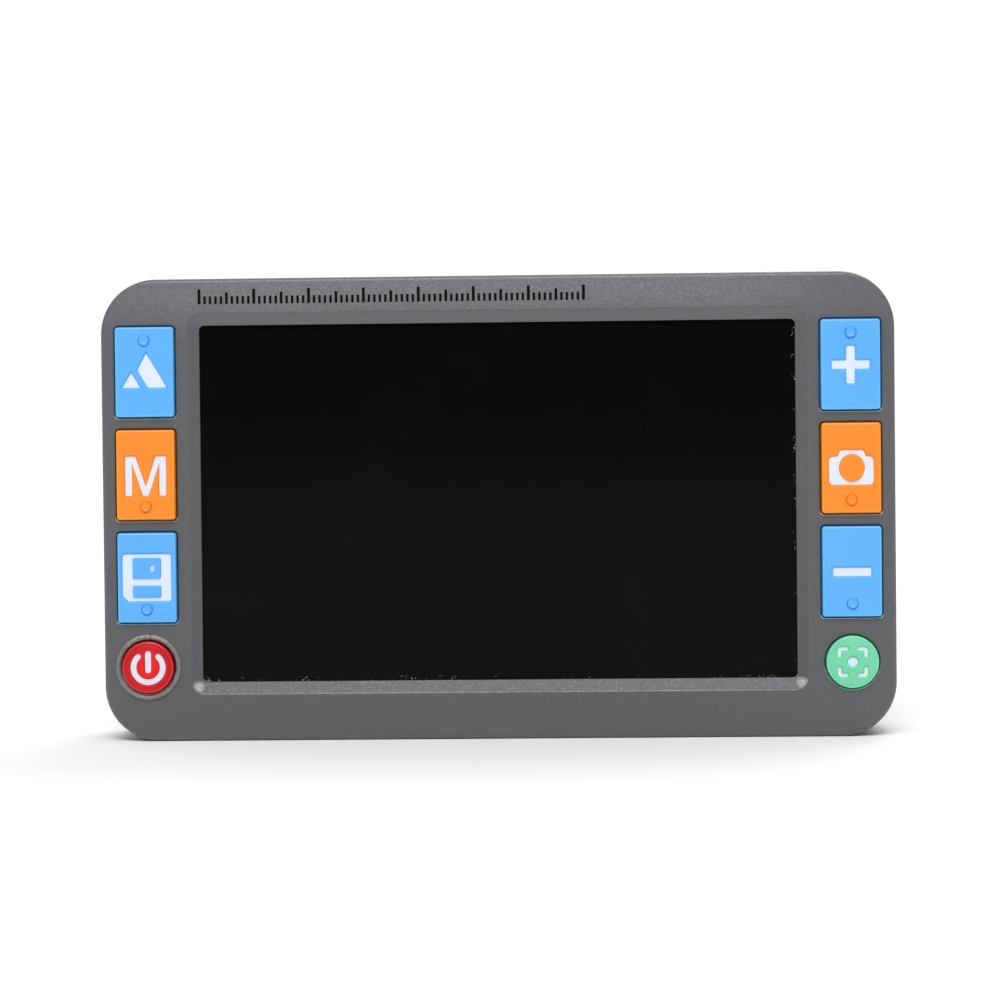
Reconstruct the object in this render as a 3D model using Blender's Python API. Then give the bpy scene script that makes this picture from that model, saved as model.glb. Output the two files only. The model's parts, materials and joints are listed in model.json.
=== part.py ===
"""Hand-held low vision video magnifier: a screen in front, a camera behind and a fold-out stand.

Metres, +Z up. The device stands on its long lower edge, with the screen facing -Y. The origin is on
the ground, under the middle of the body. Run with: blender --background --python part.py
"""

import math

import bmesh
import bpy
from mathutils import Matrix, Vector

# ---------------------------------------------------------------- driving dimensions, in metres
BODY_W, BODY_H, BODY_D = 0.1444, 0.0844, 0.0220
CORNER_R = 0.0100
FRONT_Y, BACK_Y = -BODY_D / 2, BODY_D / 2
MIDDLE_Z = BODY_H / 2
SIDE_WALL, FACE_WALL, BACK_WALL = 0.0016, 0.0018, 0.0020
FRONT_FILLET, BACK_FILLET = 0.0008, 0.0030
PARTING_Y = -0.0030  # middle of the groove between the two housings
SHELL_GAP = 0.0003
LIP_INSET, RABBET_INSET = 0.00095, 0.00085  # the rear housing's lip fits into the front one's rabbet
LIP_LENGTH = 0.0013
FACE_BACK = FRONT_Y + FACE_WALL  # inner side of the front face
BACK_FRONT = BACK_Y - BACK_WALL  # inner side of the back wall

MATE = 0.0001  # gap between two parts that touch
LOOSE = 0.0003  # gap between two parts that only lie near each other
OVERLAP = 0.0005  # how far joined shapes run into each other, and cutters past a wall
CORNER_STEPS, FEW_STEPS = 8, 4
ROUND_SIDES, FEW_SIDES = 24, 16

# screen
WINDOW_W, WINDOW_H, WINDOW_R = 0.1086, 0.0652, 0.0008
WINDOW_Z = 0.0433
WINDOW_BEVEL_W, WINDOW_BEVEL_DEPTH, WINDOW_BEVEL_R = 0.0021, 0.0013, 0.0026
COVER_W, COVER_H, COVER_T, SHEET_R = 0.1126, 0.0692, 0.0010, 0.0010
LCD_FRAME_W, LCD_FRAME_H, LCD_FRAME_T = 0.1146, 0.0710, 0.0031
LCD_FRAME_WALL, LCD_FRAME_FLOOR = 0.0008, 0.0005
LCD_SHEET_MARGIN = 0.0003
LCD_GLASS_T, LIGHT_GUIDE_T = 0.0012, 0.0010

# keys: two mirrored columns of three oblong keys with a round one below
KEY_X = 0.0641
KEY_W, KEY_H, KEY_R = 0.01085, 0.0165, 0.0008
KEY_TOP_Z, KEY_PITCH = 0.0675, 0.01875
ROUND_KEY_Z, ROUND_KEY_R = 0.0136, 0.00475
KEY_GAP, KEY_PROUD, KEY_BEVEL = 0.00035, 0.0009, 0.0003
KEY_FLANGE, KEY_FLANGE_T, KEY_BACKLASH = 0.00075, 0.0008, 0.0002
KEY_STEM_R, KEY_STEM_L = 0.0020, 0.0006
KEY_DOT_R, KEY_DOT_TOP_R, KEY_DOT_T, KEY_DOT_OFFSET = 0.0009, 0.0006, 0.0003, 0.00575
COLLAR_R, COLLAR_TUBE = 0.0056, 0.00048  # raised ring round the power key
SWITCH_SIDE, SWITCH_T, SWITCH_BORE_DEPTH = 0.0060, 0.0022, 0.0017
SWITCH_BORE_R, PLUNGER_R, PLUNGER_L, PLUNGER_REACH = 0.0016, 0.0014, 0.0016, 0.0006
KEY_BOARD_W, KEY_BOARD_H, KEY_BOARD_T = 0.0100, 0.0672, 0.0012
KEY_BOARD_Z = 0.0419

# back: camera, lights and stand
CAMERA_Z = 0.0460
CAMERA_HOLE_R, CAMERA_PANE_T = 0.0056, 0.0010
BEZEL_R, BEZEL_HOLE_R, BEZEL_SEAT, BEZEL_PROUD, BEZEL_EDGE = 0.0080, 0.0050, 0.0008, 0.0006, 0.0003
LIGHT_X = 0.0150
LIGHT_HOLE_R, LIGHT_FLANGE_R, LIGHT_SEAT, LIGHT_DOME = 0.0030, 0.0040, 0.0005, 0.00045
STAND_W, STAND_ARM, STAND_BAR, STAND_T = 0.0960, 0.0090, 0.0100, 0.0040
HINGE_Z, STAND_BOTTOM = 0.0680, 0.0150
STAND_SINK, STAND_GAP, STAND_R, ISLAND_R = 0.0002, 0.0004, 0.0026, 0.0030
HINGE_Y = BACK_Y - STAND_SINK - STAND_T / 2
BARREL_R, ROD_R, ROD_BORE_R, ROD_L, ROD_SOCKET = 0.0019, 0.0010, 0.0011, 0.1010, 0.0019
PAD_L, PAD_T, PAD_H, PAD_PROUD = 0.0700, 0.0026, 0.0018, 0.0010
RECESS_WALL, RECESS_SIDE_WALL, RECESS_TOP_R = 0.0015, 0.0030, 0.0006
SCOOP_W, SCOOP_H, SCOOP_Z, SCOOP_R = 0.0220, 0.0090, 0.0115, 0.0040

# fasteners and feet
SCREW_X, SCREW_RISE = 0.0615, 0.0370
SCREW_R, SCREW_HEAD_R, SCREW_HEAD_T = 0.0010, 0.0019, 0.0014
SCREW_SEAT_Y, SCREW_TIP_Y = 0.0076, -0.0070
SCREW_CROSS_L, SCREW_CROSS_W, SCREW_CROSS_DEPTH = 0.0024, 0.0005, 0.0007
COUNTERBORE_R, SCREW_HOLE_R, PILOT_R = 0.0022, 0.0012, 0.00108
FRONT_BOSS_R, REAR_BOSS_R = 0.0024, 0.0032
FOOT_X, FOOT_RISE, FOOT_R, FOOT_PROUD, FOOT_SEAT = 0.0610, 0.0267, 0.0040, 0.0012, 0.0005
FOOT_EDGE = 0.0003
POST_X, POST_LOW_Z, POST_HIGH_Z, POST_R = 0.0545, 0.0160, 0.0680, 0.0020

# electronics
BOARD_LEFT, BOARD_RIGHT, BOARD_LOW, BOARD_HIGH = -0.0560, 0.0695, 0.0100, 0.0740
BOARD_Y, BOARD_T = -0.0030, 0.0016
BOARD_BACK = BOARD_Y + BOARD_T
SOCKET_Y = BOARD_BACK + 0.0002  # front faces of the sockets on the board
CAMERA_BOARD_W, CAMERA_BOARD_H, CAMERA_BOARD_T, CAMERA_BOARD_Y = 0.0440, 0.0130, 0.0012, -0.0005
LENS_BASE, LENS_BASE_T, LENS_BARREL_R, LENS_BARREL_END = 0.0090, 0.0026, 0.0036, 0.0082
LENS_R, LENS_SEAT_R, LENS_SEAT_DEPTH, LENS_T, LENS_DOME = 0.0026, 0.0028, 0.0016, 0.0008, 0.0005
LED_SIDE, LED_T = 0.0035, 0.0013
BATTERY_W, BATTERY_H, BATTERY_T, BATTERY_X, BATTERY_Z = 0.0650, 0.0280, 0.0052, -0.0075, 0.0230
CHIP_SIDE, CHIP_T, CHIP_X, CHIP_Z = 0.0150, 0.0012, 0.0340, 0.0580
USB_W, USB_T, USB_R, USB_L, USB_Z, USB_END = 0.0090, 0.0032, 0.0015, 0.0073, 0.0450, 0.0713
USB_WALL, USB_DEPTH, USB_TONGUE_W, USB_TONGUE_T = 0.00035, 0.0062, 0.0067, 0.0007
JACK_L, JACK_H, JACK_T, JACK_Z = 0.0118, 0.0060, 0.0050, 0.0620
JACK_NOSE_R, JACK_NOSE_END, JACK_BORE_R, JACK_BORE_DEPTH = 0.0024, 0.0717, 0.0018, 0.0090
CARD_W, CARD_L, CARD_T, CARD_Z, CARD_END = 0.0110, 0.0150, 0.0009, 0.0270, 0.0720
CARD_SOCKET_W, CARD_SOCKET_L, CARD_SOCKET_T, CARD_PLAY = 0.0140, 0.0150, 0.0019, 0.0002
SOCKET_RIGHT = 0.0695
PORT_GAP = 0.0003
FLEX_X, FLEX_W, FLEX_T, FLEX_START_Y = 0.0440, 0.0140, 0.0002, -0.0062
FLEX_BEND_Z, FLEX_TOP_Z = 0.0070, 0.0180

# ---------------------------------------------------------------- colours: base, roughness, metallic
COLOURS = {
    "grey_plastic": ((0.125, 0.128, 0.133), 0.55, 0.0),
    "screen_black": ((0.004, 0.005, 0.004), 0.08, 0.0),
    "lcd_black": ((0.010, 0.011, 0.012), 0.20, 0.0),
    "sheet_metal": ((0.560, 0.570, 0.580), 0.35, 1.0),
    "light_guide": ((0.850, 0.870, 0.880), 0.30, 0.0),
    "key_blue": ((0.130, 0.460, 1.000), 0.45, 0.0),
    "key_orange": ((1.000, 0.290, 0.040), 0.45, 0.0),
    "key_red": ((0.700, 0.028, 0.030), 0.45, 0.0),
    "key_green": ((0.180, 0.680, 0.380), 0.45, 0.0),
    "switch_black": ((0.020, 0.020, 0.022), 0.50, 0.0),
    "plunger_white": ((0.750, 0.750, 0.720), 0.50, 0.0),
    "circuit_board": ((0.020, 0.140, 0.060), 0.40, 0.0),
    "chip_black": ((0.015, 0.015, 0.016), 0.45, 0.0),
    "battery_silver": ((0.520, 0.530, 0.540), 0.30, 1.0),
    "flex_orange": ((0.550, 0.220, 0.050), 0.40, 0.0),
    "black_plastic": ((0.018, 0.018, 0.020), 0.45, 0.0),
    "clear_glass": ((0.080, 0.090, 0.100), 0.03, 0.0),
    "frosted_lens": ((0.820, 0.830, 0.800), 0.25, 0.0),
    "black_rubber": ((0.025, 0.025, 0.026), 0.80, 0.0),
    "dark_steel": ((0.180, 0.180, 0.190), 0.35, 1.0),
    "bright_steel": ((0.600, 0.600, 0.620), 0.30, 1.0),
    "card_black": ((0.012, 0.012, 0.014), 0.40, 0.0),
}


# ---------------------------------------------------------------- helpers
def clear_scene():
    for obj in list(bpy.data.objects):
        bpy.data.objects.remove(obj)


def material(name):
    """The Principled material of that name, made when it is first asked for."""
    found = bpy.data.materials.get(name)
    if found:
        return found
    colour, roughness, metallic = COLOURS[name]
    made = bpy.data.materials.new(name)
    made.use_nodes = True
    shader = made.node_tree.nodes["Principled BSDF"]
    shader.inputs["Base Color"].default_value = (*colour, 1)
    shader.inputs["Roughness"].default_value = roughness
    shader.inputs["Metallic"].default_value = metallic
    return made


def empty(name, location):
    obj = bpy.data.objects.new(name, None)
    obj.location = location
    bpy.context.scene.collection.objects.link(obj)
    return obj


def solid(name, mesh, parent, colour=None, location=(0, 0, 0)):
    """An object from a bmesh, round faces shaded smooth. Without a colour it is a tool for a Boolean."""
    data = bpy.data.meshes.new(name)
    bmesh.ops.recalc_face_normals(mesh, faces=mesh.faces)
    mesh.to_mesh(data)
    mesh.free()
    data.shade_smooth()
    data.set_sharp_from_angle(angle=math.radians(35))
    obj = bpy.data.objects.new(name, data)
    obj.parent = parent
    obj.location = location
    bpy.context.scene.collection.objects.link(obj)
    if colour:
        data.materials.append(material(colour))
    else:
        obj.hide_render = True
        obj.display_type = "WIRE"
    return obj


def combine(target, tool, operation):
    modifier = target.modifiers.new(tool.name, "BOOLEAN")
    modifier.operation = operation
    modifier.solver = "EXACT"
    modifier.object = tool


def cut(target, mesh, name, location=(0, 0, 0)):
    combine(target, solid(f"{target.name}_{name}", mesh, target.parent, None, location), "DIFFERENCE")


def join(target, mesh, name, location=(0, 0, 0)):
    combine(target, solid(f"{target.name}_{name}", mesh, target.parent, None, location), "UNION")


def rounded_ring(width, height, radius, y, steps=CORNER_STEPS, top_radius=None):
    """Points of a rounded rectangle centred on the Y axis, in the XZ plane at y."""
    points = []
    for quarter, (side, rise) in enumerate(((1, 1), (-1, 1), (-1, -1), (1, -1))):
        bend = top_radius if top_radius and rise > 0 else radius
        corner = Vector((side * (width / 2 - bend), y, rise * (height / 2 - bend)))
        for step in range(steps + 1):
            angle = math.pi / 2 * (quarter + step / steps)
            points.append(corner + bend * Vector((math.cos(angle), 0, math.sin(angle))))
    return points


def round_ring(radius, y, sides=ROUND_SIDES):
    turns = [2 * math.pi * i / sides for i in range(sides)]
    return [Vector((radius * math.cos(turn), y, radius * math.sin(turn))) for turn in turns]


def bridge(mesh, near, far):
    for i, vertex in enumerate(near):
        j = (i + 1) % len(near)
        mesh.faces.new((vertex, near[j], far[j], far[i]))


def loft(rings):
    """A closed mesh through rings with the same number of points, with a flat face on each end."""
    mesh = bmesh.new()
    loops = [[mesh.verts.new(point) for point in ring] for ring in rings]
    for near, far in zip(loops, loops[1:]):
        bridge(mesh, near, far)
    mesh.faces.new(loops[0])
    mesh.faces.new(loops[-1])
    return mesh


def hoop(rings):
    """A closed mesh through rings and back to the first, such as a frame or a collar."""
    mesh = bmesh.new()
    loops = [[mesh.verts.new(point) for point in ring] for ring in rings]
    for near, far in zip(loops, loops[1:] + loops[:1]):
        bridge(mesh, near, far)
    return mesh


def plate(width, height, radius, low_y, high_y, steps=CORNER_STEPS):
    return loft([rounded_ring(width, height, radius, y, steps) for y in (low_y, high_y)])


def turned(profile, sides=ROUND_SIDES):
    """A solid turned about the Y axis from (radius, y) pairs, front to back."""
    return loft([round_ring(radius, y, sides) for radius, y in profile])


def rod(radius, low_y, high_y, sides=ROUND_SIDES):
    return turned(((radius, low_y), (radius, high_y)), sides)


def along_x(mesh):
    """The mesh turned so that its +Y end faces +X."""
    bmesh.ops.rotate(mesh, verts=mesh.verts, matrix=Matrix.Rotation(-math.pi / 2, 3, "Z"))
    return mesh


def box(size, centre=(0, 0, 0)):
    mesh = bmesh.new()
    place = Matrix.Translation(centre) @ Matrix.Diagonal((*size, 1))
    bmesh.ops.create_cube(mesh, size=1, matrix=place)
    return mesh


def fillet_rings(radius, face_y, side, steps):
    """Rings of the body's outline round its edge at face_y; side is +1 where the body lies behind it."""
    rings = []
    for step in range(steps + 1):
        angle = math.pi / 2 * step / steps
        inset, y = radius * (1 - math.sin(angle)), face_y + side * radius * (1 - math.cos(angle))
        rings.append(body_ring(inset, y))
    return rings


def body_ring(inset, y):
    """The body's outline at y, or a line inside it."""
    ring = rounded_ring(BODY_W - 2 * inset, BODY_H - 2 * inset, CORNER_R - inset, y)
    return [point + Vector((0, 0, MIDDLE_Z)) for point in ring]


def body_plate(inset, low_y, high_y):
    return loft([body_ring(inset, low_y), body_ring(inset, high_y)])


def screw_places():
    return [(side * SCREW_X, MIDDLE_Z + rise * SCREW_RISE) for rise in (1, -1) for side in (-1, 1)]


def post_places():
    return [(side * POST_X, z) for z in (POST_LOW_Z, POST_HIGH_Z) for side in (-1, 1)]


def foot_places():
    return [(side * FOOT_X, MIDDLE_Z + rise * FOOT_RISE) for rise in (1, -1) for side in (-1, 1)]


# ---------------------------------------------------------------- keys
FLANGE_Y = FACE_BACK + KEY_BACKLASH
FLANGE_BACK = FLANGE_Y + KEY_FLANGE_T
PLUNGER_Y = FLANGE_BACK + KEY_STEM_L + MATE
SWITCH_Y = PLUNGER_Y + PLUNGER_REACH  # the switch's front face


def key_places():
    """Name, colour, centre and which way the tactile dot lies, for each key; a round key has no dot."""
    rows = [KEY_TOP_Z - KEY_PITCH * row for row in range(3)]
    left = (("image", "key_blue", 1), ("mode", "key_orange", -1), ("save", "key_blue", -1))
    right = (("zoom_in", "key_blue", 1), ("snapshot", "key_orange", -1), ("zoom_out", "key_blue", -1))
    places = [("power", "key_red", -KEY_X, ROUND_KEY_Z, 0), ("focus", "key_green", KEY_X, ROUND_KEY_Z, 0)]
    for x, column in ((-KEY_X, left), (KEY_X, right)):
        places += [(name, colour, x, z, dot) for (name, colour, dot), z in zip(column, rows)]
    return places


def key_ring(margin, y, is_round):
    if is_round:
        return round_ring(ROUND_KEY_R + margin, y)
    width, height, radius = KEY_W + 2 * margin, KEY_H + 2 * margin, KEY_R + max(margin, 0)
    return rounded_ring(width, height, radius, y, FEW_STEPS)


def key_cap(name, colour, pivot, dot):
    """A cap with a bevelled rim, held behind the housing by its flange, and a stem for the switch."""
    flange_y, back = FLANGE_Y - FRONT_Y, FLANGE_BACK - FRONT_Y
    steps = (
        (KEY_FLANGE, back),
        (KEY_FLANGE, flange_y),
        (0, flange_y),
        (0, KEY_BEVEL - KEY_PROUD),
        (-KEY_BEVEL, -KEY_PROUD),
    )
    rings = [key_ring(margin, y, dot == 0) for margin, y in steps]
    cap = solid(f"{name}_key", loft(rings), pivot, colour)
    join(cap, rod(KEY_STEM_R, back - OVERLAP, back + KEY_STEM_L, FEW_SIDES), "stem")
    if dot:
        profile = ((KEY_DOT_R, OVERLAP), (KEY_DOT_R, 0), (KEY_DOT_TOP_R, -KEY_DOT_T))
        place = (0, -KEY_PROUD, dot * KEY_DOT_OFFSET)
        join(cap, turned(profile, FEW_SIDES), "dot", place)


def key_switch(name, pivot, body, x, z):
    """The switch on the key board, and the plunger that the key's stem pushes into it."""
    shape = box((SWITCH_SIDE, SWITCH_T, SWITCH_SIDE), (0, SWITCH_T / 2, 0))
    can = solid(f"{name}_switch", shape, body, "switch_black", (x, SWITCH_Y, z))
    cut(can, rod(SWITCH_BORE_R, -OVERLAP, SWITCH_BORE_DEPTH, FEW_SIDES), "bore", (x, SWITCH_Y, z))
    front = PLUNGER_Y - FRONT_Y
    plunger = rod(PLUNGER_R, front, front + PLUNGER_L, FEW_SIDES)
    solid(f"{name}_plunger", plunger, pivot, "plunger_white")


def keys(body):
    for name, colour, x, z, dot in key_places():
        pivot = empty(f"{name}_slide", (x, FRONT_Y, z))
        pivot.parent = body
        key_cap(name, colour, pivot, dot)
        key_switch(name, pivot, body, x, z)
    for side, x in (("left", -KEY_X), ("right", KEY_X)):
        board = plate(KEY_BOARD_W, KEY_BOARD_H, SHEET_R / 2, 0, KEY_BOARD_T, 1)
        place = (x, SWITCH_Y + SWITCH_T + MATE, KEY_BOARD_Z)
        solid(f"key_board_{side}", board, body, "circuit_board", place)


# ---------------------------------------------------------------- housings
def front_housing(body):
    end = PARTING_Y - SHELL_GAP / 2
    outer = fillet_rings(FRONT_FILLET, FRONT_Y, 1, 3) + [body_ring(0, end)]
    shell = solid("front_housing", loft(outer), body, "grey_plastic")
    cut(shell, body_plate(SIDE_WALL, FACE_BACK, end + OVERLAP), "cavity")
    cut(shell, body_plate(RABBET_INSET, end - LIP_LENGTH - LOOSE, end + OVERLAP), "rabbet")
    cut(shell, window_cutter(), "window", (0, 0, WINDOW_Z))
    for name, _, x, z, dot in key_places():
        pocket = [key_ring(KEY_GAP, y, dot == 0) for y in (FRONT_Y - OVERLAP, FACE_BACK + OVERLAP)]
        cut(shell, loft(pocket), f"{name}_pocket", (x, 0, z))
    join(shell, power_collar(), "power_collar", (-KEY_X, FRONT_Y, ROUND_KEY_Z))
    for i, (x, z) in enumerate(screw_places(), 1):
        join(shell, rod(FRONT_BOSS_R, FACE_BACK - OVERLAP, end, FEW_SIDES), f"boss_{i}", (x, 0, z))
        pilot = rod(PILOT_R, SCREW_TIP_Y - LOOSE, end + OVERLAP, FEW_SIDES)
        cut(shell, pilot, f"pilot_{i}", (x, 0, z))


def window_cutter():
    """The window's straight sides, and the bevel that widens it towards the front."""
    past_face = 1 + OVERLAP / WINDOW_BEVEL_DEPTH
    steps = (
        (past_face, FRONT_Y - OVERLAP),
        (0, FRONT_Y + WINDOW_BEVEL_DEPTH),
        (0, FACE_BACK + OVERLAP),
    )
    rings = []
    for part, y in steps:
        reach = 2 * WINDOW_BEVEL_W * part
        radius = WINDOW_R + (WINDOW_BEVEL_R - WINDOW_R) * part
        rings.append(rounded_ring(WINDOW_W + reach, WINDOW_H + reach, radius, y, FEW_STEPS))
    return loft(rings)


def power_collar():
    """A ring of half-round section that stands on the face round the power key."""
    angles = [math.pi * step / 6 for step in range(7)]
    section = [(COLLAR_R + COLLAR_TUBE * math.cos(a), -COLLAR_TUBE * math.sin(a)) for a in angles]
    section += [(COLLAR_R - COLLAR_TUBE, OVERLAP), (COLLAR_R + COLLAR_TUBE, OVERLAP)]
    return hoop([round_ring(radius, y) for radius, y in section])


def rear_housing(body):
    start = PARTING_Y + SHELL_GAP / 2
    outer = [body_ring(0, start)] + fillet_rings(BACK_FILLET, BACK_Y, -1, 4)[::-1]
    shell = solid("rear_housing", loft(outer), body, "grey_plastic")
    join(shell, body_plate(LIP_INSET, start - LIP_LENGTH, start + OVERLAP), "lip")
    cut(shell, body_plate(SIDE_WALL, start - 2 * LIP_LENGTH, BACK_FRONT), "cavity")
    stand_recess(shell)
    for i, (x, z) in enumerate(screw_places(), 1):
        boss = rod(REAR_BOSS_R, start, BACK_FRONT + OVERLAP, FEW_SIDES)
        join(shell, boss, f"boss_{i}", (x, 0, z))
        steps = (
            (SCREW_HOLE_R, start - OVERLAP),
            (SCREW_HOLE_R, SCREW_SEAT_Y),
            (COUNTERBORE_R, SCREW_SEAT_Y),
            (COUNTERBORE_R, BACK_Y + OVERLAP),
        )
        cut(shell, turned(steps, FEW_SIDES), f"screw_hole_{i}", (x, 0, z))
    for i, (x, z) in enumerate(foot_places(), 1):
        seat = rod(FOOT_R, BACK_Y - FOOT_SEAT, BACK_Y + OVERLAP)
        cut(shell, seat, f"foot_seat_{i}", (x, 0, z))
    for i, (x, z) in enumerate(post_places(), 1):
        post = rod(POST_R, BOARD_BACK + LOOSE, BACK_FRONT + OVERLAP, FEW_SIDES)
        join(shell, post, f"board_post_{i}", (x, 0, z))
    window = (
        (CAMERA_HOLE_R, BACK_FRONT - OVERLAP),
        (CAMERA_HOLE_R, BACK_Y - BEZEL_SEAT),
        (BEZEL_R + MATE, BACK_Y - BEZEL_SEAT),
        (BEZEL_R + MATE, BACK_Y + OVERLAP),
    )
    cut(shell, turned(window), "camera_hole", (0, 0, CAMERA_Z))
    light = (
        (LIGHT_HOLE_R, BACK_FRONT - OVERLAP),
        (LIGHT_HOLE_R, BACK_Y - LIGHT_SEAT),
        (LIGHT_FLANGE_R + MATE, BACK_Y - LIGHT_SEAT),
        (LIGHT_FLANGE_R + MATE, BACK_Y + OVERLAP),
    )
    for side, x in (("left", -LIGHT_X), ("right", LIGHT_X)):
        cut(shell, turned(light), f"light_hole_{side}", (x, 0, CAMERA_Z))
    ports(shell)


def stand_recess(shell):
    """The well that the stand folds into, the island inside it, and the scoop for a finger.

    The well's top corners are nearly square, so that the stand's arms clear them as they turn."""
    top, bottom = HINGE_Z + STAND_T / 2 + STAND_GAP, STAND_BOTTOM - STAND_GAP
    width, height, middle = STAND_W + 2 * STAND_GAP, top - bottom, (top + bottom) / 2
    island_top = HINGE_Z - STAND_T / 2 - STAND_GAP
    island_bottom = STAND_BOTTOM + STAND_BAR + STAND_GAP
    island_w, island_h = STAND_W - 2 * STAND_ARM - 2 * STAND_GAP, island_top - island_bottom
    island_z = (island_top + island_bottom) / 2 - middle
    floor = BACK_Y - STAND_SINK - STAND_T - STAND_GAP

    def outline(grow, grow_sides, y):
        size, radius = (width + 2 * grow_sides, height + 2 * grow), STAND_R + STAND_GAP + grow
        return rounded_ring(*size, radius, y, FEW_STEPS, RECESS_TOP_R + grow)

    def island(grow, y):
        ring = rounded_ring(island_w + 2 * grow, island_h + 2 * grow, ISLAND_R + grow, y, FEW_STEPS)
        return [point + Vector((0, 0, island_z)) for point in ring]

    def channel(wall, side_wall, low_y, high_y):
        outer = [outline(wall, side_wall, y) for y in (high_y, low_y)]
        return hoop(outer + [island(-wall, y) for y in (low_y, high_y)])

    block = channel(RECESS_WALL, RECESS_SIDE_WALL, floor - RECESS_WALL, BACK_FRONT + OVERLAP)
    join(shell, block, "recess_wall", (0, 0, middle))
    scoop_floor, wall = floor + MATE, 2 * RECESS_WALL
    scoop_wall = (SCOOP_W + wall, SCOOP_H + wall, SCOOP_R, scoop_floor - RECESS_WALL)
    join(shell, plate(*scoop_wall, BACK_FRONT + OVERLAP, FEW_STEPS), "scoop_wall", (0, 0, SCOOP_Z))
    cut(shell, channel(0, 0, floor, BACK_Y + OVERLAP), "recess", (0, 0, middle))
    scoop = plate(SCOOP_W, SCOOP_H, SCOOP_R, scoop_floor, BACK_Y + OVERLAP, FEW_STEPS)
    cut(shell, scoop, "scoop", (0, 0, SCOOP_Z))
    for side in (-1, 1):
        socket = along_x(rod(ROD_BORE_R, -ROD_SOCKET, ROD_SOCKET, FEW_SIDES))
        socket_x = side * (ROD_L / 2 + MATE - ROD_SOCKET)
        cut(shell, socket, f"rod_socket_{side}", (socket_x, HINGE_Y, HINGE_Z))


def ports(shell):
    """Openings in the right wall for the charging socket, the audio-video jack and the memory card."""
    wall_x, reach = BODY_W / 2 - SIDE_WALL / 2, SIDE_WALL
    usb_size = (USB_T + 2 * PORT_GAP, USB_W + 2 * PORT_GAP, USB_T / 2)
    usb = along_x(plate(*usb_size, -reach, reach, FEW_STEPS))
    cut(shell, usb, "usb_port", (wall_x, SOCKET_Y + USB_T / 2, USB_Z))
    jack = along_x(rod(JACK_NOSE_R + PORT_GAP, -reach, reach))
    cut(shell, jack, "jack_port", (wall_x, SOCKET_Y + JACK_T / 2, JACK_Z))
    slot = box((2 * reach, CARD_T + 2 * PORT_GAP, CARD_W + 4 * PORT_GAP))
    cut(shell, slot, "card_slot", (wall_x, SOCKET_Y + CARD_SOCKET_T / 2, CARD_Z))


# ---------------------------------------------------------------- screen
def screen(body):
    cover_y = FACE_BACK + MATE
    frame_y = cover_y + COVER_T + MATE
    cover = plate(COVER_W, COVER_H, SHEET_R, 0, COVER_T, 2)
    solid("screen_cover", cover, body, "screen_black", (0, cover_y, WINDOW_Z))
    tray_shape = plate(LCD_FRAME_W, LCD_FRAME_H, SHEET_R, 0, LCD_FRAME_T, 2)
    tray = solid("lcd_frame", tray_shape, body, "sheet_metal", (0, frame_y, WINDOW_Z))
    inner_w, inner_h = LCD_FRAME_W - 2 * LCD_FRAME_WALL, LCD_FRAME_H - 2 * LCD_FRAME_WALL
    hollow = box((inner_w, LCD_FRAME_T, inner_h), (0, LCD_FRAME_T / 2 - LCD_FRAME_FLOOR, 0))
    cut(tray, hollow, "hollow", (0, frame_y, WINDOW_Z))
    sheet_w, sheet_h = inner_w - 2 * LCD_SHEET_MARGIN, inner_h - 2 * LCD_SHEET_MARGIN
    guide_y = frame_y + LCD_FRAME_T - LCD_FRAME_FLOOR - MATE - LIGHT_GUIDE_T
    glass_y = guide_y - MATE - LCD_GLASS_T
    glass = plate(sheet_w, sheet_h, SHEET_R / 2, 0, LCD_GLASS_T, 1)
    solid("lcd_glass", glass, body, "lcd_black", (0, glass_y, WINDOW_Z))
    guide = plate(sheet_w, sheet_h, SHEET_R / 2, 0, LIGHT_GUIDE_T, 1)
    solid("light_guide", guide, body, "light_guide", (0, guide_y, WINDOW_Z))


# ---------------------------------------------------------------- electronics
def electronics(body):
    board_w, board_h = BOARD_RIGHT - BOARD_LEFT, BOARD_HIGH - BOARD_LOW
    board_centre = ((BOARD_RIGHT + BOARD_LEFT) / 2, BOARD_Y, (BOARD_HIGH + BOARD_LOW) / 2)
    board = plate(board_w, board_h, SHEET_R, 0, BOARD_T, 2)
    solid("main_board", board, body, "circuit_board", board_centre)
    chip = box((CHIP_SIDE, CHIP_T, CHIP_SIDE), (0, CHIP_T / 2, 0))
    solid("processor_chip", chip, body, "chip_black", (CHIP_X, BOARD_BACK + MATE, CHIP_Z))
    battery = plate(BATTERY_W, BATTERY_H, 1.5 * SHEET_R, 0, BATTERY_T, FEW_STEPS)
    place = (BATTERY_X, BOARD_BACK + LOOSE, BATTERY_Z)
    solid("battery_cell", battery, body, "battery_silver", place)
    sockets(body)
    display_flex(body)


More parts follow.
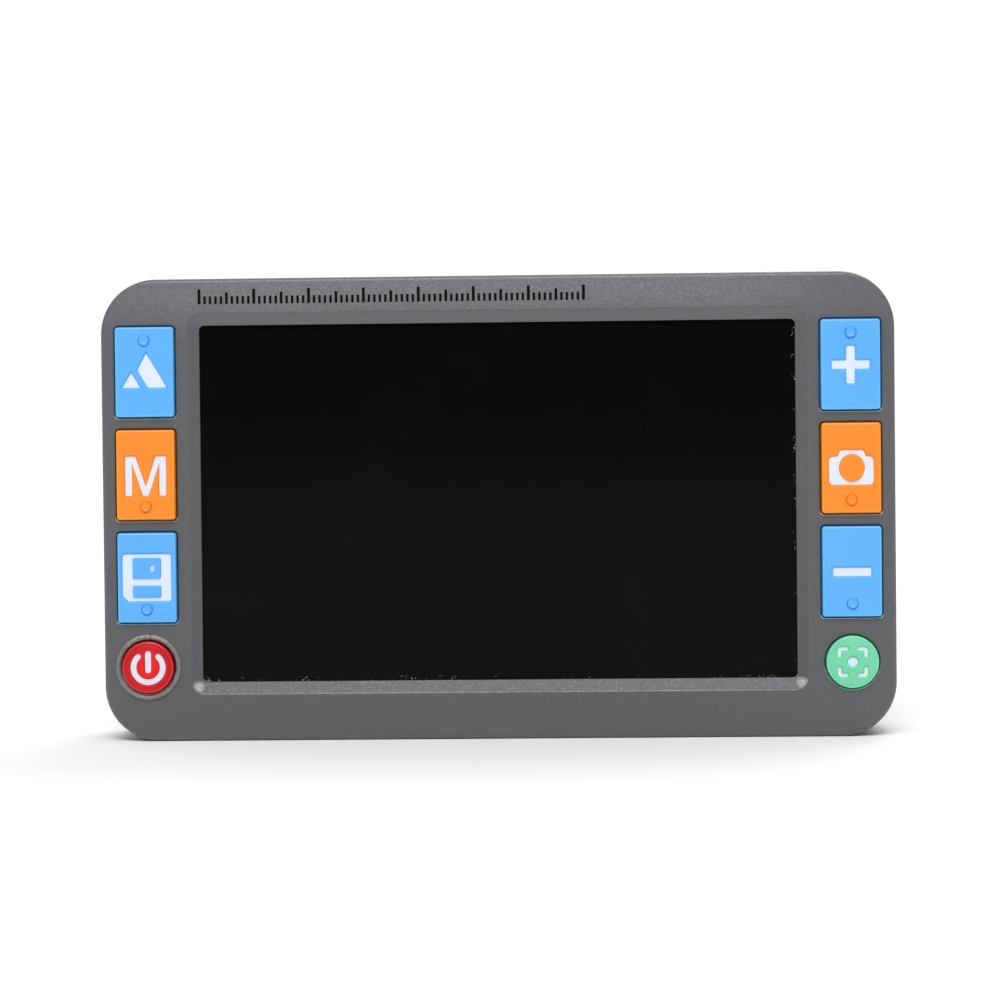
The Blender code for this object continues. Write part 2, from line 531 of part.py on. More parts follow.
def sockets(body):
    place = (USB_END, SOCKET_Y + USB_T / 2, USB_Z)
    usb_shell = along_x(plate(USB_T, USB_W, USB_R, -USB_L, 0, FEW_STEPS))
    usb = solid("usb_socket", usb_shell, body, "bright_steel", place)
    mouth_size = (USB_T - 2 * USB_WALL, USB_W - 2 * USB_WALL, USB_R - USB_WALL)
    cut(usb, along_x(plate(*mouth_size, -USB_DEPTH, OVERLAP, FEW_STEPS)), "mouth", place)
    tongue = box((USB_DEPTH, USB_TONGUE_T, USB_TONGUE_W), (-USB_DEPTH / 2 - OVERLAP, 0, 0))
    join(usb, tongue, "tongue", place)

    jack_y = SOCKET_Y + JACK_T / 2
    nose_place = (JACK_NOSE_END, jack_y, JACK_Z)
    jack_box = box((JACK_L, JACK_T, JACK_H), (-JACK_L / 2, 0, 0))
    jack_x = BODY_W / 2 - SIDE_WALL - LOOSE
    jack = solid("av_jack", jack_box, body, "black_plastic", (jack_x, jack_y, JACK_Z))
    join(jack, along_x(rod(JACK_NOSE_R, jack_x - JACK_NOSE_END - OVERLAP, 0)), "nose", nose_place)
    cut(jack, along_x(rod(JACK_BORE_R, -JACK_BORE_DEPTH, OVERLAP, FEW_SIDES)), "bore", nose_place)

    card_y = SOCKET_Y + CARD_SOCKET_T / 2
    socket_box = box((CARD_SOCKET_L, CARD_SOCKET_T, CARD_SOCKET_W), (-CARD_SOCKET_L / 2, 0, 0))
    holder = solid("card_socket", socket_box, body, "bright_steel", (SOCKET_RIGHT, card_y, CARD_Z))
    card_back = CARD_END - CARD_L - 2 * CARD_PLAY
    slot_l = SOCKET_RIGHT - card_back + OVERLAP
    slot = box((slot_l, CARD_T + 2 * CARD_PLAY, CARD_W + 2 * CARD_PLAY), (OVERLAP - slot_l / 2, 0, 0))
    cut(holder, slot, "slot", (SOCKET_RIGHT, card_y, CARD_Z))
    card_slide = empty("card_slide", (CARD_END, card_y, CARD_Z))
    card_slide.parent = body
    solid("memory_card", box((CARD_L, CARD_T, CARD_W), (-CARD_L / 2, 0, 0)), card_slide, "card_black")


def display_flex(body):
    """The flat cable from under the display, round the board's lower edge, to the board's back."""
    frame_bottom = WINDOW_Z - LCD_FRAME_H / 2
    end_y = BOARD_BACK + LOOSE + FLEX_T
    radius, middle_y = (end_y - FLEX_START_Y) / 2, (end_y + FLEX_START_Y) / 2
    line = [(FLEX_START_Y, frame_bottom - LOOSE)]
    for step in range(CORNER_STEPS + 1):
        angle = math.pi * (1 + step / CORNER_STEPS)
        line.append((middle_y + radius * math.cos(angle), FLEX_BEND_Z + radius * math.sin(angle)))
    line.append((end_y, FLEX_TOP_Z))
    mesh = bmesh.new()
    edges = [[mesh.verts.new((side * FLEX_W / 2, y, z)) for y, z in line] for side in (-1, 1)]
    for i in range(len(line) - 1):
        mesh.faces.new((edges[0][i], edges[1][i], edges[1][i + 1], edges[0][i + 1]))
    flex = solid("display_flex", mesh, body, "flex_orange", (FLEX_X, 0, 0))
    thickness = flex.modifiers.new("thickness", "SOLIDIFY")
    thickness.thickness = FLEX_T
    thickness.offset = 0


# ---------------------------------------------------------------- camera and lights
def camera(body):
    board = plate(CAMERA_BOARD_W, CAMERA_BOARD_H, SHEET_R, 0, CAMERA_BOARD_T, 2)
    solid("camera_board", board, body, "circuit_board", (0, CAMERA_BOARD_Y, CAMERA_Z))
    base_y = CAMERA_BOARD_Y + CAMERA_BOARD_T + MATE
    base = box((LENS_BASE, LENS_BASE_T, LENS_BASE), (0, LENS_BASE_T / 2, 0))
    holder = solid("lens_holder", base, body, "black_plastic", (0, base_y, CAMERA_Z))
    barrel = rod(LENS_BARREL_R, base_y + LENS_BASE_T - OVERLAP, LENS_BARREL_END)
    join(holder, barrel, "barrel", (0, 0, CAMERA_Z))
    seat = rod(LENS_SEAT_R, LENS_BARREL_END - LENS_SEAT_DEPTH, LENS_BARREL_END + OVERLAP)
    cut(holder, seat, "lens_seat", (0, 0, CAMERA_Z))
    lens_y = LENS_BARREL_END - LENS_SEAT_DEPTH + MATE
    dome = [(LENS_R, 0), (LENS_R, LENS_T)]
    angles = [math.pi / 2 * step / 4 for step in (1, 2, 3)]
    dome += [(LENS_R * math.cos(a), LENS_T + LENS_DOME * math.sin(a)) for a in angles]
    solid("camera_lens", turned(dome), body, "clear_glass", (0, lens_y, CAMERA_Z))
    pane = rod(CAMERA_HOLE_R - LOOSE, -CAMERA_PANE_T, 0)
    solid("camera_window", pane, body, "clear_glass", (0, BACK_Y - BEZEL_SEAT, CAMERA_Z))
    camera_bezel(body)
    for side, x in (("left", -LIGHT_X), ("right", LIGHT_X)):
        led = box((LED_SIDE, LED_T, LED_SIDE), (0, LED_T / 2, 0))
        solid(f"led_{side}", led, body, "frosted_lens", (x, base_y, CAMERA_Z))
        lens = (
            (LIGHT_HOLE_R - MATE, BACK_FRONT - OVERLAP),
            (LIGHT_HOLE_R - MATE, BACK_Y - LIGHT_SEAT + MATE),
            (LIGHT_FLANGE_R, BACK_Y - LIGHT_SEAT + MATE),
            (LIGHT_FLANGE_R, BACK_Y),
            (LIGHT_FLANGE_R * 0.8, BACK_Y + LIGHT_DOME * 0.7),
            (LIGHT_FLANGE_R * 0.4, BACK_Y + LIGHT_DOME),
        )
        solid(f"light_lens_{side}", turned(lens), body, "frosted_lens", (x, 0, CAMERA_Z))


def camera_bezel(body):
    """The raised black ring that holds the camera's window in the back wall."""
    seat_y = BACK_Y - BEZEL_SEAT + MATE
    section = (
        (BEZEL_HOLE_R, seat_y),
        (BEZEL_R, seat_y),
        (BEZEL_R, BACK_Y + BEZEL_PROUD - BEZEL_EDGE),
        (BEZEL_R - BEZEL_EDGE, BACK_Y + BEZEL_PROUD),
        (BEZEL_HOLE_R + 3 * BEZEL_EDGE, BACK_Y + BEZEL_PROUD),
        (BEZEL_HOLE_R, BACK_Y),
    )
    mesh = hoop([round_ring(radius, y) for radius, y in section])
    solid("camera_bezel", mesh, body, "black_plastic", (0, 0, CAMERA_Z))


# ---------------------------------------------------------------- stand
def stand(body):
    """A frame that swings out of the back on a steel rod. Its pieces are placed from the hinge's axis."""
    hinge = empty("stand_hinge", (0, HINGE_Y, HINGE_Z))
    hinge.parent = body
    low, half = STAND_BOTTOM + PAD_PROUD - HINGE_Z, STAND_T / 2
    arc = [math.pi * step / CORNER_STEPS for step in range(CORNER_STEPS + 1)]
    side_view = [Vector((half * math.cos(a), half * math.sin(a))) for a in arc]
    side_view += [Vector((-half, low)), Vector((half, low))]
    slab = loft([[Vector((x, y, z)) for y, z in side_view] for x in (-STAND_W / 2, STAND_W / 2)])
    frame = solid("stand_frame", slab, hinge, "grey_plastic")
    outline = plate(STAND_W, half - low, STAND_R, -STAND_T, STAND_T, FEW_STEPS)
    corners = solid("stand_frame_corners", outline, hinge, None, (0, 0, (half + low) / 2))
    combine(frame, corners, "INTERSECT")
    opening_bottom = STAND_BOTTOM + STAND_BAR - HINGE_Z
    opening_top = STAND_T
    opening_w, opening_h = STAND_W - 2 * STAND_ARM, opening_top - opening_bottom
    opening = plate(opening_w, opening_h, STAND_R, -STAND_T, STAND_T, FEW_STEPS)
    cut(frame, opening, "opening", (0, 0, (opening_top + opening_bottom) / 2))
    barrel_end = opening_w / 2 + OVERLAP
    join(frame, along_x(rod(BARREL_R, -barrel_end, barrel_end, FEW_SIDES)), "barrel")
    cut(frame, along_x(rod(ROD_BORE_R, -STAND_W, STAND_W, FEW_SIDES)), "bore")
    pad_z = STAND_BOTTOM + PAD_H / 2 - HINGE_Z
    groove = box((PAD_L + 2 * MATE, PAD_T + 2 * MATE, PAD_H + 2 * MATE), (0, 0, pad_z))
    cut(frame, groove, "pad_groove")
    solid("stand_pad", box((PAD_L, PAD_T, PAD_H), (0, 0, pad_z)), hinge, "black_rubber")
    hinge_rod = along_x(rod(ROD_R, -ROD_L / 2, ROD_L / 2, FEW_SIDES))
    solid("hinge_rod", hinge_rod, body, "bright_steel", (0, HINGE_Y, HINGE_Z))


# ---------------------------------------------------------------- screws and feet
def fasteners(body):
    for i, (x, z) in enumerate(screw_places(), 1):
        head_y = SCREW_SEAT_Y + MATE
        profile = (
            (SCREW_R * 0.4, SCREW_TIP_Y),
            (SCREW_R, SCREW_TIP_Y + SCREW_R),
            (SCREW_R, head_y),
            (SCREW_HEAD_R, head_y),
            (SCREW_HEAD_R, head_y + SCREW_HEAD_T * 0.6),
            (SCREW_HEAD_R * 0.7, head_y + SCREW_HEAD_T),
        )
        screw = solid(f"case_screw_{i}", turned(profile, FEW_SIDES), body, "dark_steel", (x, 0, z))
        bars = {"level": (SCREW_CROSS_L, SCREW_CROSS_W), "upright": (SCREW_CROSS_W, SCREW_CROSS_L)}
        for bar, (width, height) in bars.items():
            slot = box((width, 2 * SCREW_CROSS_DEPTH, height))
            cut(screw, slot, f"cross_{bar}", (x, head_y + SCREW_HEAD_T, z))
    for i, (x, z) in enumerate(foot_places(), 1):
        profile = (
            (FOOT_R - MATE, BACK_Y - FOOT_SEAT + MATE),
            (FOOT_R - MATE, BACK_Y + FOOT_PROUD - FOOT_EDGE),
            (FOOT_R - MATE - FOOT_EDGE, BACK_Y + FOOT_PROUD),
        )
        solid(f"rear_foot_{i}", turned(profile), body, "black_rubber", (x, 0, z))


def main():
    clear_scene()
    body = empty("body", (0, 0, 0))
    front_housing(body)
    rear_housing(body)
    screen(body)
    keys(body)
    electronics(body)
    camera(body)
    stand(body)
    fasteners(body)


main()
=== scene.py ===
"""The looks of a hand-held low vision magnifier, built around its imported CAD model.

Metres, +Z up. The device stands on its long lower edge, with the screen facing -Y.
"""

import json
import math

import bmesh
import bpy
from mathutils import Matrix, Vector
from mathutils.geometry import tessellate_polygon


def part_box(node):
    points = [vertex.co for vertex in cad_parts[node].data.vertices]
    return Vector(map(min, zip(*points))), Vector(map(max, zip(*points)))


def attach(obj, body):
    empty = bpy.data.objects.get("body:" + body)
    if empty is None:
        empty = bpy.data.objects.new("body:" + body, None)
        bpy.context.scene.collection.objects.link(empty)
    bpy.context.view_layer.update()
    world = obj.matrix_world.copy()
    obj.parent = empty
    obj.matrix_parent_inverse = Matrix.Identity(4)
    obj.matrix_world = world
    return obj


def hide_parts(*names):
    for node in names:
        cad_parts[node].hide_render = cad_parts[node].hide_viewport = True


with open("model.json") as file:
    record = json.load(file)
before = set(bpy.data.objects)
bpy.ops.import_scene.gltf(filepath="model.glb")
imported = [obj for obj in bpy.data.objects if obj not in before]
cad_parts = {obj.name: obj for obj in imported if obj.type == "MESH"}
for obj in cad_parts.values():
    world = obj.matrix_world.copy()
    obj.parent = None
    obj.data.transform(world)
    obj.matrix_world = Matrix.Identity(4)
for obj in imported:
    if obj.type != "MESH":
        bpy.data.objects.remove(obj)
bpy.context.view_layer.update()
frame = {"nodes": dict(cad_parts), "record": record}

# ---------------------------------------------------------------- places read from the frame
FRONT_LOW, FRONT_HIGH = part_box("front_housing")
REAR_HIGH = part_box("rear_housing")[1]
COVER_LOW, COVER_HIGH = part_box("screen_cover")
STAND_LOW, STAND_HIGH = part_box("stand_frame")
PAD_LOW, PAD_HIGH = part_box("stand_pad")
ROD_LOW, ROD_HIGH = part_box("hinge_rod")
BEZEL_LOW, BEZEL_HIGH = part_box("camera_bezel")

MM = 0.001
BODY_W, BODY_H = FRONT_HIGH.x - FRONT_LOW.x, FRONT_HIGH.z - FRONT_LOW.z
MIDDLE_Z = (FRONT_HIGH.z + FRONT_LOW.z) / 2
FRONT_Y = -11 * MM  # the front face; the power key's ring and the keys stand proud of it
BACK_Y = REAR_HIGH.y
CORNER_R, SIDE_WALL, FACE_WALL, BACK_WALL = 10 * MM, 1.6 * MM, 1.8 * MM, 2 * MM
FRONT_FILLET, BACK_FILLET = 0.9 * MM, 3 * MM
SEAM_FRONT, SEAM_BACK, SEAM_EDGE = FRONT_HIGH.y, FRONT_HIGH.y + 0.3 * MM, 0.12 * MM
OVERLAP = 0.5 * MM  # how far a cut reaches past what it cuts

WINDOW_W, WINDOW_H, WINDOW_R = 108.6 * MM, 65.2 * MM, 0.9 * MM
WINDOW_Z = (COVER_LOW.z + COVER_HIGH.z) / 2
BAND_W, BAND_DEPTH, BAND_R = 2.1 * MM, 1.3 * MM, 2.7 * MM

KEY_W, KEY_H, KEY_R, KEY_GAP = 10.85 * MM, 16.5 * MM, 0.6 * MM, 0.35 * MM
ROUND_KEY_R, COLLAR_R, COLLAR_TUBE = 4.75 * MM, 5.56 * MM, 0.46 * MM
KEY_PROUD, KEY_RIM, KEY_DRAFT = 0.9 * MM, 0.42 * MM, 0.08 * MM
POCKET_GAP = 0.2 * MM  # between a key and its pocket's edge at the face
FLANGE, FLANGE_LOW, FLANGE_HIGH = 0.75 * MM, 2.0 * MM, 2.8 * MM
ICON_DEPTH, ICON_SINK = 0.38 * MM, 0.34 * MM
MOUTH_REACH, FLOOR_INSET = 0.30, 0.03  # how far a recess's mouth is grown and its floor drawn in, in millimetres
DOT_OFFSET = 5.75 * MM

CAMERA_Z = (BEZEL_LOW.z + BEZEL_HIGH.z) / 2
LIGHT_X = 15 * MM
STAND_ARM, STAND_BAR = 9 * MM, 10 * MM  # widths of the stand's sides and of its lower bar
HINGE = Vector((0, (ROD_LOW.y + ROD_HIGH.y) / 2, (ROD_LOW.z + ROD_HIGH.z) / 2))
HINGE_BORE = 1.1 * MM

# a key's colour, and its tactile dot: 1 above the symbol, -1 below it, or 0 for a round key without one
KEYS = {
    "image": ("blue", 1),
    "mode": ("orange", -1),
    "save": ("blue", -1),
    "zoom_in": ("blue", 1),
    "snapshot": ("orange", -1),
    "zoom_out": ("blue", -1),
    "power": ("red", 0),
    "focus": ("green", 0),
}
KEY_BOXES = {name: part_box(f"{name}_key") for name in KEYS}

GREY = (0.094, 0.0965, 0.1025)
# a key's colour, and the deeper tone of its soft patches or, on the red key, of its face towards the rim
KEY_TONES = {
    "blue": ((0.106, 0.430, 0.965), (0.099, 0.415, 0.955)),
    "orange": ((0.98, 0.262, 0.0175), (0.96, 0.248, 0.015)),
    "red": ((0.80, 0.012, 0.014), (0.47, 0.007, 0.010)),
    "green": ((0.172, 0.660, 0.390), (0.158, 0.625, 0.368)),
}
RED_RIM = (0.52, 0.007, 0.010)  # every other key's rim has its face's colour


# ---------------------------------------------------------------- node helpers
class Nodes:
    """A node tree, and short ways to add and link its nodes."""

    def __init__(self, tree):
        self.tree = tree

    def node(self, kind, **values):
        made = self.tree.nodes.new(kind)
        for key, value in values.items():
            setattr(made, key, value)
        return made

    def link(self, source, target):
        self.tree.links.new(source, target)

    def coordinates(self, kind):
        return self.node("ShaderNodeTexCoord").outputs[kind]

    def split(self, vector):
        """A vector's X, Y and Z."""
        made = self.node("ShaderNodeSeparateXYZ")
        self.link(vector, made.inputs[0])
        return made.outputs

    def remap(self, source, low, high, to_low=0.0, to_high=1.0):
        made = self.node("ShaderNodeMapRange")
        self.link(source, made.inputs["Value"])
        for socket, value in zip(("From Min", "From Max", "To Min", "To Max"), (low, high, to_low, to_high)):
            made.inputs[socket].default_value = value
        return made.outputs["Result"]

    def math(self, operation, first, second=None):
        made = self.node("ShaderNodeMath", operation=operation)
        for socket, value in zip(made.inputs, (first, second)):
            if isinstance(value, (int, float)):
                socket.default_value = value
            elif value:
                self.link(value, socket)
        return made.outputs["Value"]

    def product(self, total, *factors):
        for factor in factors:
            total = self.math("MULTIPLY", total, factor)
        return total


class Finish(Nodes):
    """A new material, with the nodes that its Principled shader reads."""

    def __init__(self, name, colour, roughness, metallic=0.0, specular=0.5):
        self.material = bpy.data.materials.new(name)
        self.material.use_nodes = True
        super().__init__(self.material.node_tree)
        self.shader = self.tree.nodes["Principled BSDF"]
        self.set("Base Color", (*colour, 1))
        self.set("Roughness", roughness)
        self.set("Metallic", metallic)
        self.set("Specular IOR Level", specular)
        self.place = self.coordinates("Object")

    def set(self, socket, value):
        self.shader.inputs[socket].default_value = value

    def use(self, socket, source):
        self.link(source, self.shader.inputs[socket])

    def facing(self, axis):
        """How far the surface faces along one of the object's axes."""
        return self.split(self.coordinates("Normal"))[axis]

    def noise(self, scale, detail=2.0, roughness=0.5, source=None):
        made = self.node("ShaderNodeTexNoise")
        made.inputs["Scale"].default_value = scale
        made.inputs["Detail"].default_value = detail
        made.inputs["Roughness"].default_value = roughness
        self.link(source or self.place, made.inputs["Vector"])
        return made.outputs["Fac"]

    def cells(self, scale):
        made = self.node("ShaderNodeTexVoronoi")
        made.inputs["Scale"].default_value = scale
        self.link(self.place, made.inputs["Vector"])
        return made.outputs["Distance"]

    def distance(self, source, point):
        made = self.node("ShaderNodeVectorMath", operation="DISTANCE")
        self.link(source, made.inputs[0])
        made.inputs[1].default_value = point
        return made.outputs["Value"]

    def mix(self, factor, first, second):
        made = self.node("ShaderNodeMix", data_type="RGBA")
        self.link(factor, made.inputs["Factor"])
        for socket, value in ((made.inputs[6], first), (made.inputs[7], second)):
            if isinstance(value, tuple):
                socket.default_value = (*value, 1)
            else:
                self.link(value, socket)
        return made.outputs[2]

    def bump(self, height, distance, strength, after=None):
        made = self.node("ShaderNodeBump")
        made.inputs["Distance"].default_value = distance
        made.inputs["Strength"].default_value = strength
        self.link(height, made.inputs["Height"])
        if after:
            self.link(after, made.inputs["Normal"])
        return made.outputs["Normal"]

    def paint(self, factor, first, second):
        self.use("Base Color", self.mix(factor, first, second))

    def roughen(self, *bounds):
        self.use("Roughness", self.remap(*bounds))

    def emboss(self, *grain):
        self.use("Normal", self.bump(*grain))


def shade(colour, factor):
    return tuple(channel * factor for channel in colour)


# ---------------------------------------------------------------- materials
def spark_grain(made, dark, pale):
    """The fine grain and soft mottling of moulded plastic, and the grey that they make between two shades."""
    fine, mottle = made.noise(2600, 2, 0.6), made.noise(60, 3, 0.55)
    tone = made.math("ADD", made.product(made.remap(fine, 0.36, 0.66), 0.6), made.product(mottle, 0.4))
    return fine, mottle, made.mix(tone, shade(GREY, dark), shade(GREY, pale))


def moulded_plastic(name):
    """Moulded plastic with a fine spark-eroded grain, mottled a little."""
    made = Finish(name, GREY, 0.5)
    fine, mottle, tone = spark_grain(made, 0.91, 1.09)
    made.use("Base Color", tone)
    made.roughen(mottle, 0.3, 0.7, 0.45, 0.57)
    made.emboss(made.noise(1500, 1), 0.042 * MM, 0.5, made.bump(fine, 0.03 * MM, 0.9))
    return made.material


def face_plastic(name):
    """The front's plastic: the same grain, with a painted sheen towards the top edge, where it is painted lighter and
    more speckled, and is less rough.
    """
    made = Finish(name, GREY, 0.5)
    fine, _, plain = spark_grain(made, 0.92, 1.08)
    flecks = made.remap(made.noise(3400, 2, 0.6), 0.50, 0.64)
    at = made.split(made.place)
    wavy = made.math("ADD", at["Z"], made.remap(made.noise(90, 2), 0.3, 0.7, -0.7 * MM, 0.7 * MM))
    top_sheen = made.product(
        made.remap(wavy, FRONT_HIGH.z - 11 * MM, FRONT_HIGH.z - 3.5 * MM),
        made.remap(made.facing("Y"), -0.3, -0.9),
        made.remap(at["X"], -64 * MM, -46 * MM, 0.7, 1),
        made.remap(at["X"], 62 * MM, 42 * MM, 0.4, 1),
    )
    # painted sheen: a lighter, speckled grey painted along the top edge, where light from above would catch the face
    made.paint(made.product(top_sheen, made.remap(flecks, 0, 1, 0.42, 1.0)), plain, shade(GREY, 2.05))
    made.roughen(top_sheen, 0, 1, 0.52, 0.44)
    made.emboss(flecks, 0.05 * MM, 0.5, made.bump(fine, 0.03 * MM, 0.9))
    return made.material


def edge_plastic(name):
    """The rounded edges of the front, polished a little by handling, and painted a lighter grey as a painted
    highlight.
    """
    made = Finish(name, shade(GREY, 1.12), 0.34)
    flecks = made.remap(made.noise(1500, 3, 0.7), 0.4, 0.68)
    # painted highlight: the edges' grey is painted lighter, in flecks, where they would catch the light
    made.paint(flecks, shade(GREY, 1.02), shade(GREY, 1.35))
    made.roughen(flecks, 0, 1, 0.40, 0.30)
    made.emboss(made.noise(2600, 2, 0.6), 0.02 * MM, 0.8)
    return made.material


def band_plastic(name):
    """The window's sloping band: coarsely grained, dusty where it faces up, painted lighter where it faces down as
    painted light, and with painted highlights in its low corners.
    """
    made = Finish(name, GREY, 0.46)
    flecks = made.remap(made.noise(2500, 2, 0.6), 0.46, 0.58)
    rise = made.facing("Z")
    plain = made.mix(flecks, shade(GREY, 1.02), shade(GREY, 1.16))
    # painted light: the band is painted lighter where it faces down
    plain = made.mix(made.remap(rise, -0.1, -0.5), plain, shade(GREY, 1.46))
    dust = made.mix(flecks, shade(GREY, 0.86), shade(GREY, 1.34))
    dusty = made.mix(made.remap(rise, 0.1, 0.5), plain, dust)
    # painted highlight: a pale gleam painted into each low corner of the band
    at = made.split(made.place)
    across = made.math("SUBTRACT", made.math("ABSOLUTE", at["X"]), WINDOW_W / 2 + 0.75 * MM)
    above = made.math("SUBTRACT", at["Z"], WINDOW_Z - WINDOW_H / 2 - 0.85 * MM)
    away = made.math("ADD", made.product(across, across), made.product(above, above))
    near = made.remap(away, (1.2 * MM) ** 2, (0.3 * MM) ** 2)
    made.paint(made.product(near, made.remap(flecks, 0, 1, 0.55, 0.9)), dusty, (0.52, 0.52, 0.51))
    made.emboss(flecks, 0.045 * MM, 0.7)
    return made.material


def lip_plastic(name):
    """The lips of the keys' pockets, painted pale where they face up: painted light, as if they were lit from above.
    """
    made = Finish(name, GREY, 0.4)
    pale_paint = made.product(made.remap(made.facing("Z"), 0.05, 0.5), made.remap(made.noise(900, 2), 0.3, 0.6, 0.6, 1))
    # painted light: pale grey painted where the lips face up
    made.paint(pale_paint, shade(GREY, 1.1), shade(GREY, 6.0))
    made.emboss(made.noise(2600, 2, 0.6), 0.02 * MM, 0.8)
    return made.material


def ring_plastic(name, colour, pale_paint):
    """The raised ring's plastic, lighter and glossier in soft patches all over and in flecks towards its top."""
    made = Finish(name, colour, 0.42)
    centre = key_centre("power").z
    high = made.remap(made.split(made.place)["Z"], centre + 2 * MM, centre + 5 * MM)
    flecks = made.product(high, made.remap(made.noise(1500, 3, 0.7), 0.45, 0.62))
    patches = made.product(made.remap(made.noise(520, 4, 0.75), 0.40, 0.66), 0.35)
    flecked = made.math("MAXIMUM", patches, flecks)
    made.paint(flecked, colour, pale_paint)
    made.roughen(flecked, 0, 1, 0.5, 0.34)
    made.emboss(made.noise(2600, 3, 0.65), 0.04 * MM, 0.8)
    return made.material


def key_rubber(name, colour, deep):
    """Satin key plastic, very finely grained, with a slightly deeper tone in soft patches."""
    made = Finish(name, colour, 0.36, specular=0.45)
    made.paint(made.remap(made.noise(140), 0.3, 0.7), deep, colour)
    made.roughen(made.noise(900), 0.3, 0.7, 0.33, 0.40)
    made.emboss(made.noise(5200), 0.008 * MM, 0.6)
    return made.material


def key_edge(name, colour):
    """The rounded rim of a key, painted paler as a painted highlight, most of all along its sides and foot."""
    made = Finish(name, colour, 0.34)
    pale_paint = made.product(made.remap(made.facing("Z"), 0.5, -0.6), made.remap(made.noise(700), 0.2, 0.7, 0.7, 1))
    # painted highlight: the rim's colour is painted paler than the face, most where it faces down
    made.paint(pale_paint, shade(colour, 1.05), tuple(min(1, channel * 1.5) for channel in colour))
    made.emboss(made.noise(5200), 0.006 * MM, 0.6)
    return made.material


def red_key_rubber(name, middle_red, rim_red):
    """The power key's red, brighter in the middle of its face than towards its rim."""
    made = Finish(name, middle_red, 0.40, specular=0.25)
    away = made.distance(made.place, key_centre("power"))
    made.paint(made.remap(away, ROUND_KEY_R * 0.52, ROUND_KEY_R * 0.92), middle_red, rim_red)
    made.emboss(made.noise(5200), 0.008 * MM, 0.6)
    return made.material


def screen_glass(name):
    """Glossy black glass over the display, with dust along its edges and a few faint smears."""
    black, dusty = (0.0027, 0.0034, 0.0024), (0.62, 0.66, 0.66)
    made = Finish(name, black, 0.12, specular=0.045)
    at = made.split(made.place)
    foot, right = WINDOW_Z - WINDOW_H / 2, WINDOW_W / 2
    low = made.product(made.remap(at["Z"], foot + 1.1 * MM, foot + 0.1 * MM),
                       made.remap(at["X"], 8 * MM, -14 * MM, 0.45, 1.0))
    side = made.product(made.remap(at["X"], right - 1.0 * MM, right - 0.1 * MM),
                        made.remap(at["Z"], WINDOW_Z - 5 * MM, WINDOW_Z + 20 * MM, 0.5, 0.9))
    edge = made.remap(made.math("MAXIMUM", low, side), 0.15, 0.8)
    grit, sparse = made.remap(made.cells(2400), 0.36, 0.16), made.remap(made.noise(330, 4, 0.75), 0.52, 0.60)
    smear = made.product(made.remap(made.noise(34, 5, 0.62), 0.55, 0.85), 0.003)
    tone = made.math("MAXIMUM", made.product(grit, sparse, edge), smear)
    made.paint(tone, black, dusty)
    made.roughen(tone, 0, 1, 0.12, 0.6)
    return made.material


def rubber(name):
    made = Finish(name, (0.020, 0.020, 0.021), 0.72, specular=0.35)
    made.paint(made.noise(260, 3), (0.016, 0.016, 0.017), (0.034, 0.034, 0.035))
    made.emboss(made.noise(2400, 3, 0.6), 0.03 * MM, 0.7)
    return made.material


def metal(name, colour, roughness, streaks=True):
    """Drawn or brushed metal, its marks running along X."""
    made = Finish(name, colour, roughness, 1.0)
    stretch = made.node("ShaderNodeMapping")
    stretch.inputs["Scale"].default_value = (0.08, 1, 1) if streaks else (1, 1, 1)
    made.link(made.place, stretch.inputs["Vector"])
    marks = made.noise(2200, 3, 0.6, stretch.outputs["Vector"])
    made.roughen(marks, 0.3, 0.7, roughness * 0.75, roughness * 1.35)
    made.paint(marks, shade(colour, 0.85), colour)
    made.emboss(marks, 0.008 * MM, 0.5)
    return made.material


def gloss_black(name):
    made = Finish(name, (0.012, 0.012, 0.013), 0.2)
    made.roughen(made.noise(300, 3, 0.6), 0.35, 0.65, 0.14, 0.3)
    made.emboss(made.noise(2600), 0.006 * MM, 0.5)
    return made.material


def coated_glass(name):
    """The camera lens: dark glass with the violet and green tints of its coating."""
    made = Finish(name, (0.010, 0.012, 0.018), 0.04, specular=0.7)
    made.paint(made.noise(240), (0.006, 0.012, 0.014), (0.022, 0.012, 0.040))
    made.set("Coat Weight", 0.6)
    made.set("Coat Roughness", 0.03)
    return made.material


def clear_glass(name):
    """The camera's flat window, clear enough to show the lens behind it."""
    made = Finish(name, (0.74, 0.78, 0.80), 0.02)
    made.set("Transmission Weight", 0.985)
    made.set("IOR", 1.46)
    made.roughen(made.noise(200), 0.4, 0.7, 0.01, 0.025)
    return made.material


def frosted_lens(name):
    """A light's lens: pebbled clear plastic, with the yellow of the LED showing at its middle."""
    made = Finish(name, (0.78, 0.78, 0.72), 0.22, specular=0.6)
    ripple = made.cells(1500)
    pale = made.mix(made.remap(ripple, 0.0, 0.6), (0.80, 0.81, 0.78), (0.58, 0.60, 0.60))
    away = made.distance(made.coordinates("Generated"), (0.5, 1.0, 0.5))
    made.paint(made.remap(away, 0.26, 0.12), pale, (0.86, 0.70, 0.16))
    made.emboss(ripple, 0.06 * MM, 0.7)
    return made.material


def circuit_board(name):
    """Green solder mask with tracks showing through as paler lines."""
    made = Finish(name, (0.020, 0.140, 0.060), 0.35)
    tracks = made.node("ShaderNodeTexBrick")
    made.link(made.place, tracks.inputs["Vector"])
    tracks.inputs["Scale"].default_value = 240
    tracks.inputs["Mortar Size"].default_value = 0.03
    made.paint(tracks.outputs["Fac"], (0.014, 0.105, 0.042), (0.040, 0.210, 0.095))
    made.emboss(tracks.outputs["Fac"], 0.03 * MM, 0.5)
    return made.material


def flat_finish(name, colour, roughness, specular=0.5):
    """A plain painted or moulded finish with faint marks."""
    made = Finish(name, colour, roughness, specular=specular)
    marks = made.noise(2000, 3, 0.6)
    made.paint(marks, shade(colour, 0.92), shade(colour, 1.05))
    made.emboss(marks, 0.01 * MM, 0.6)
    return made.material


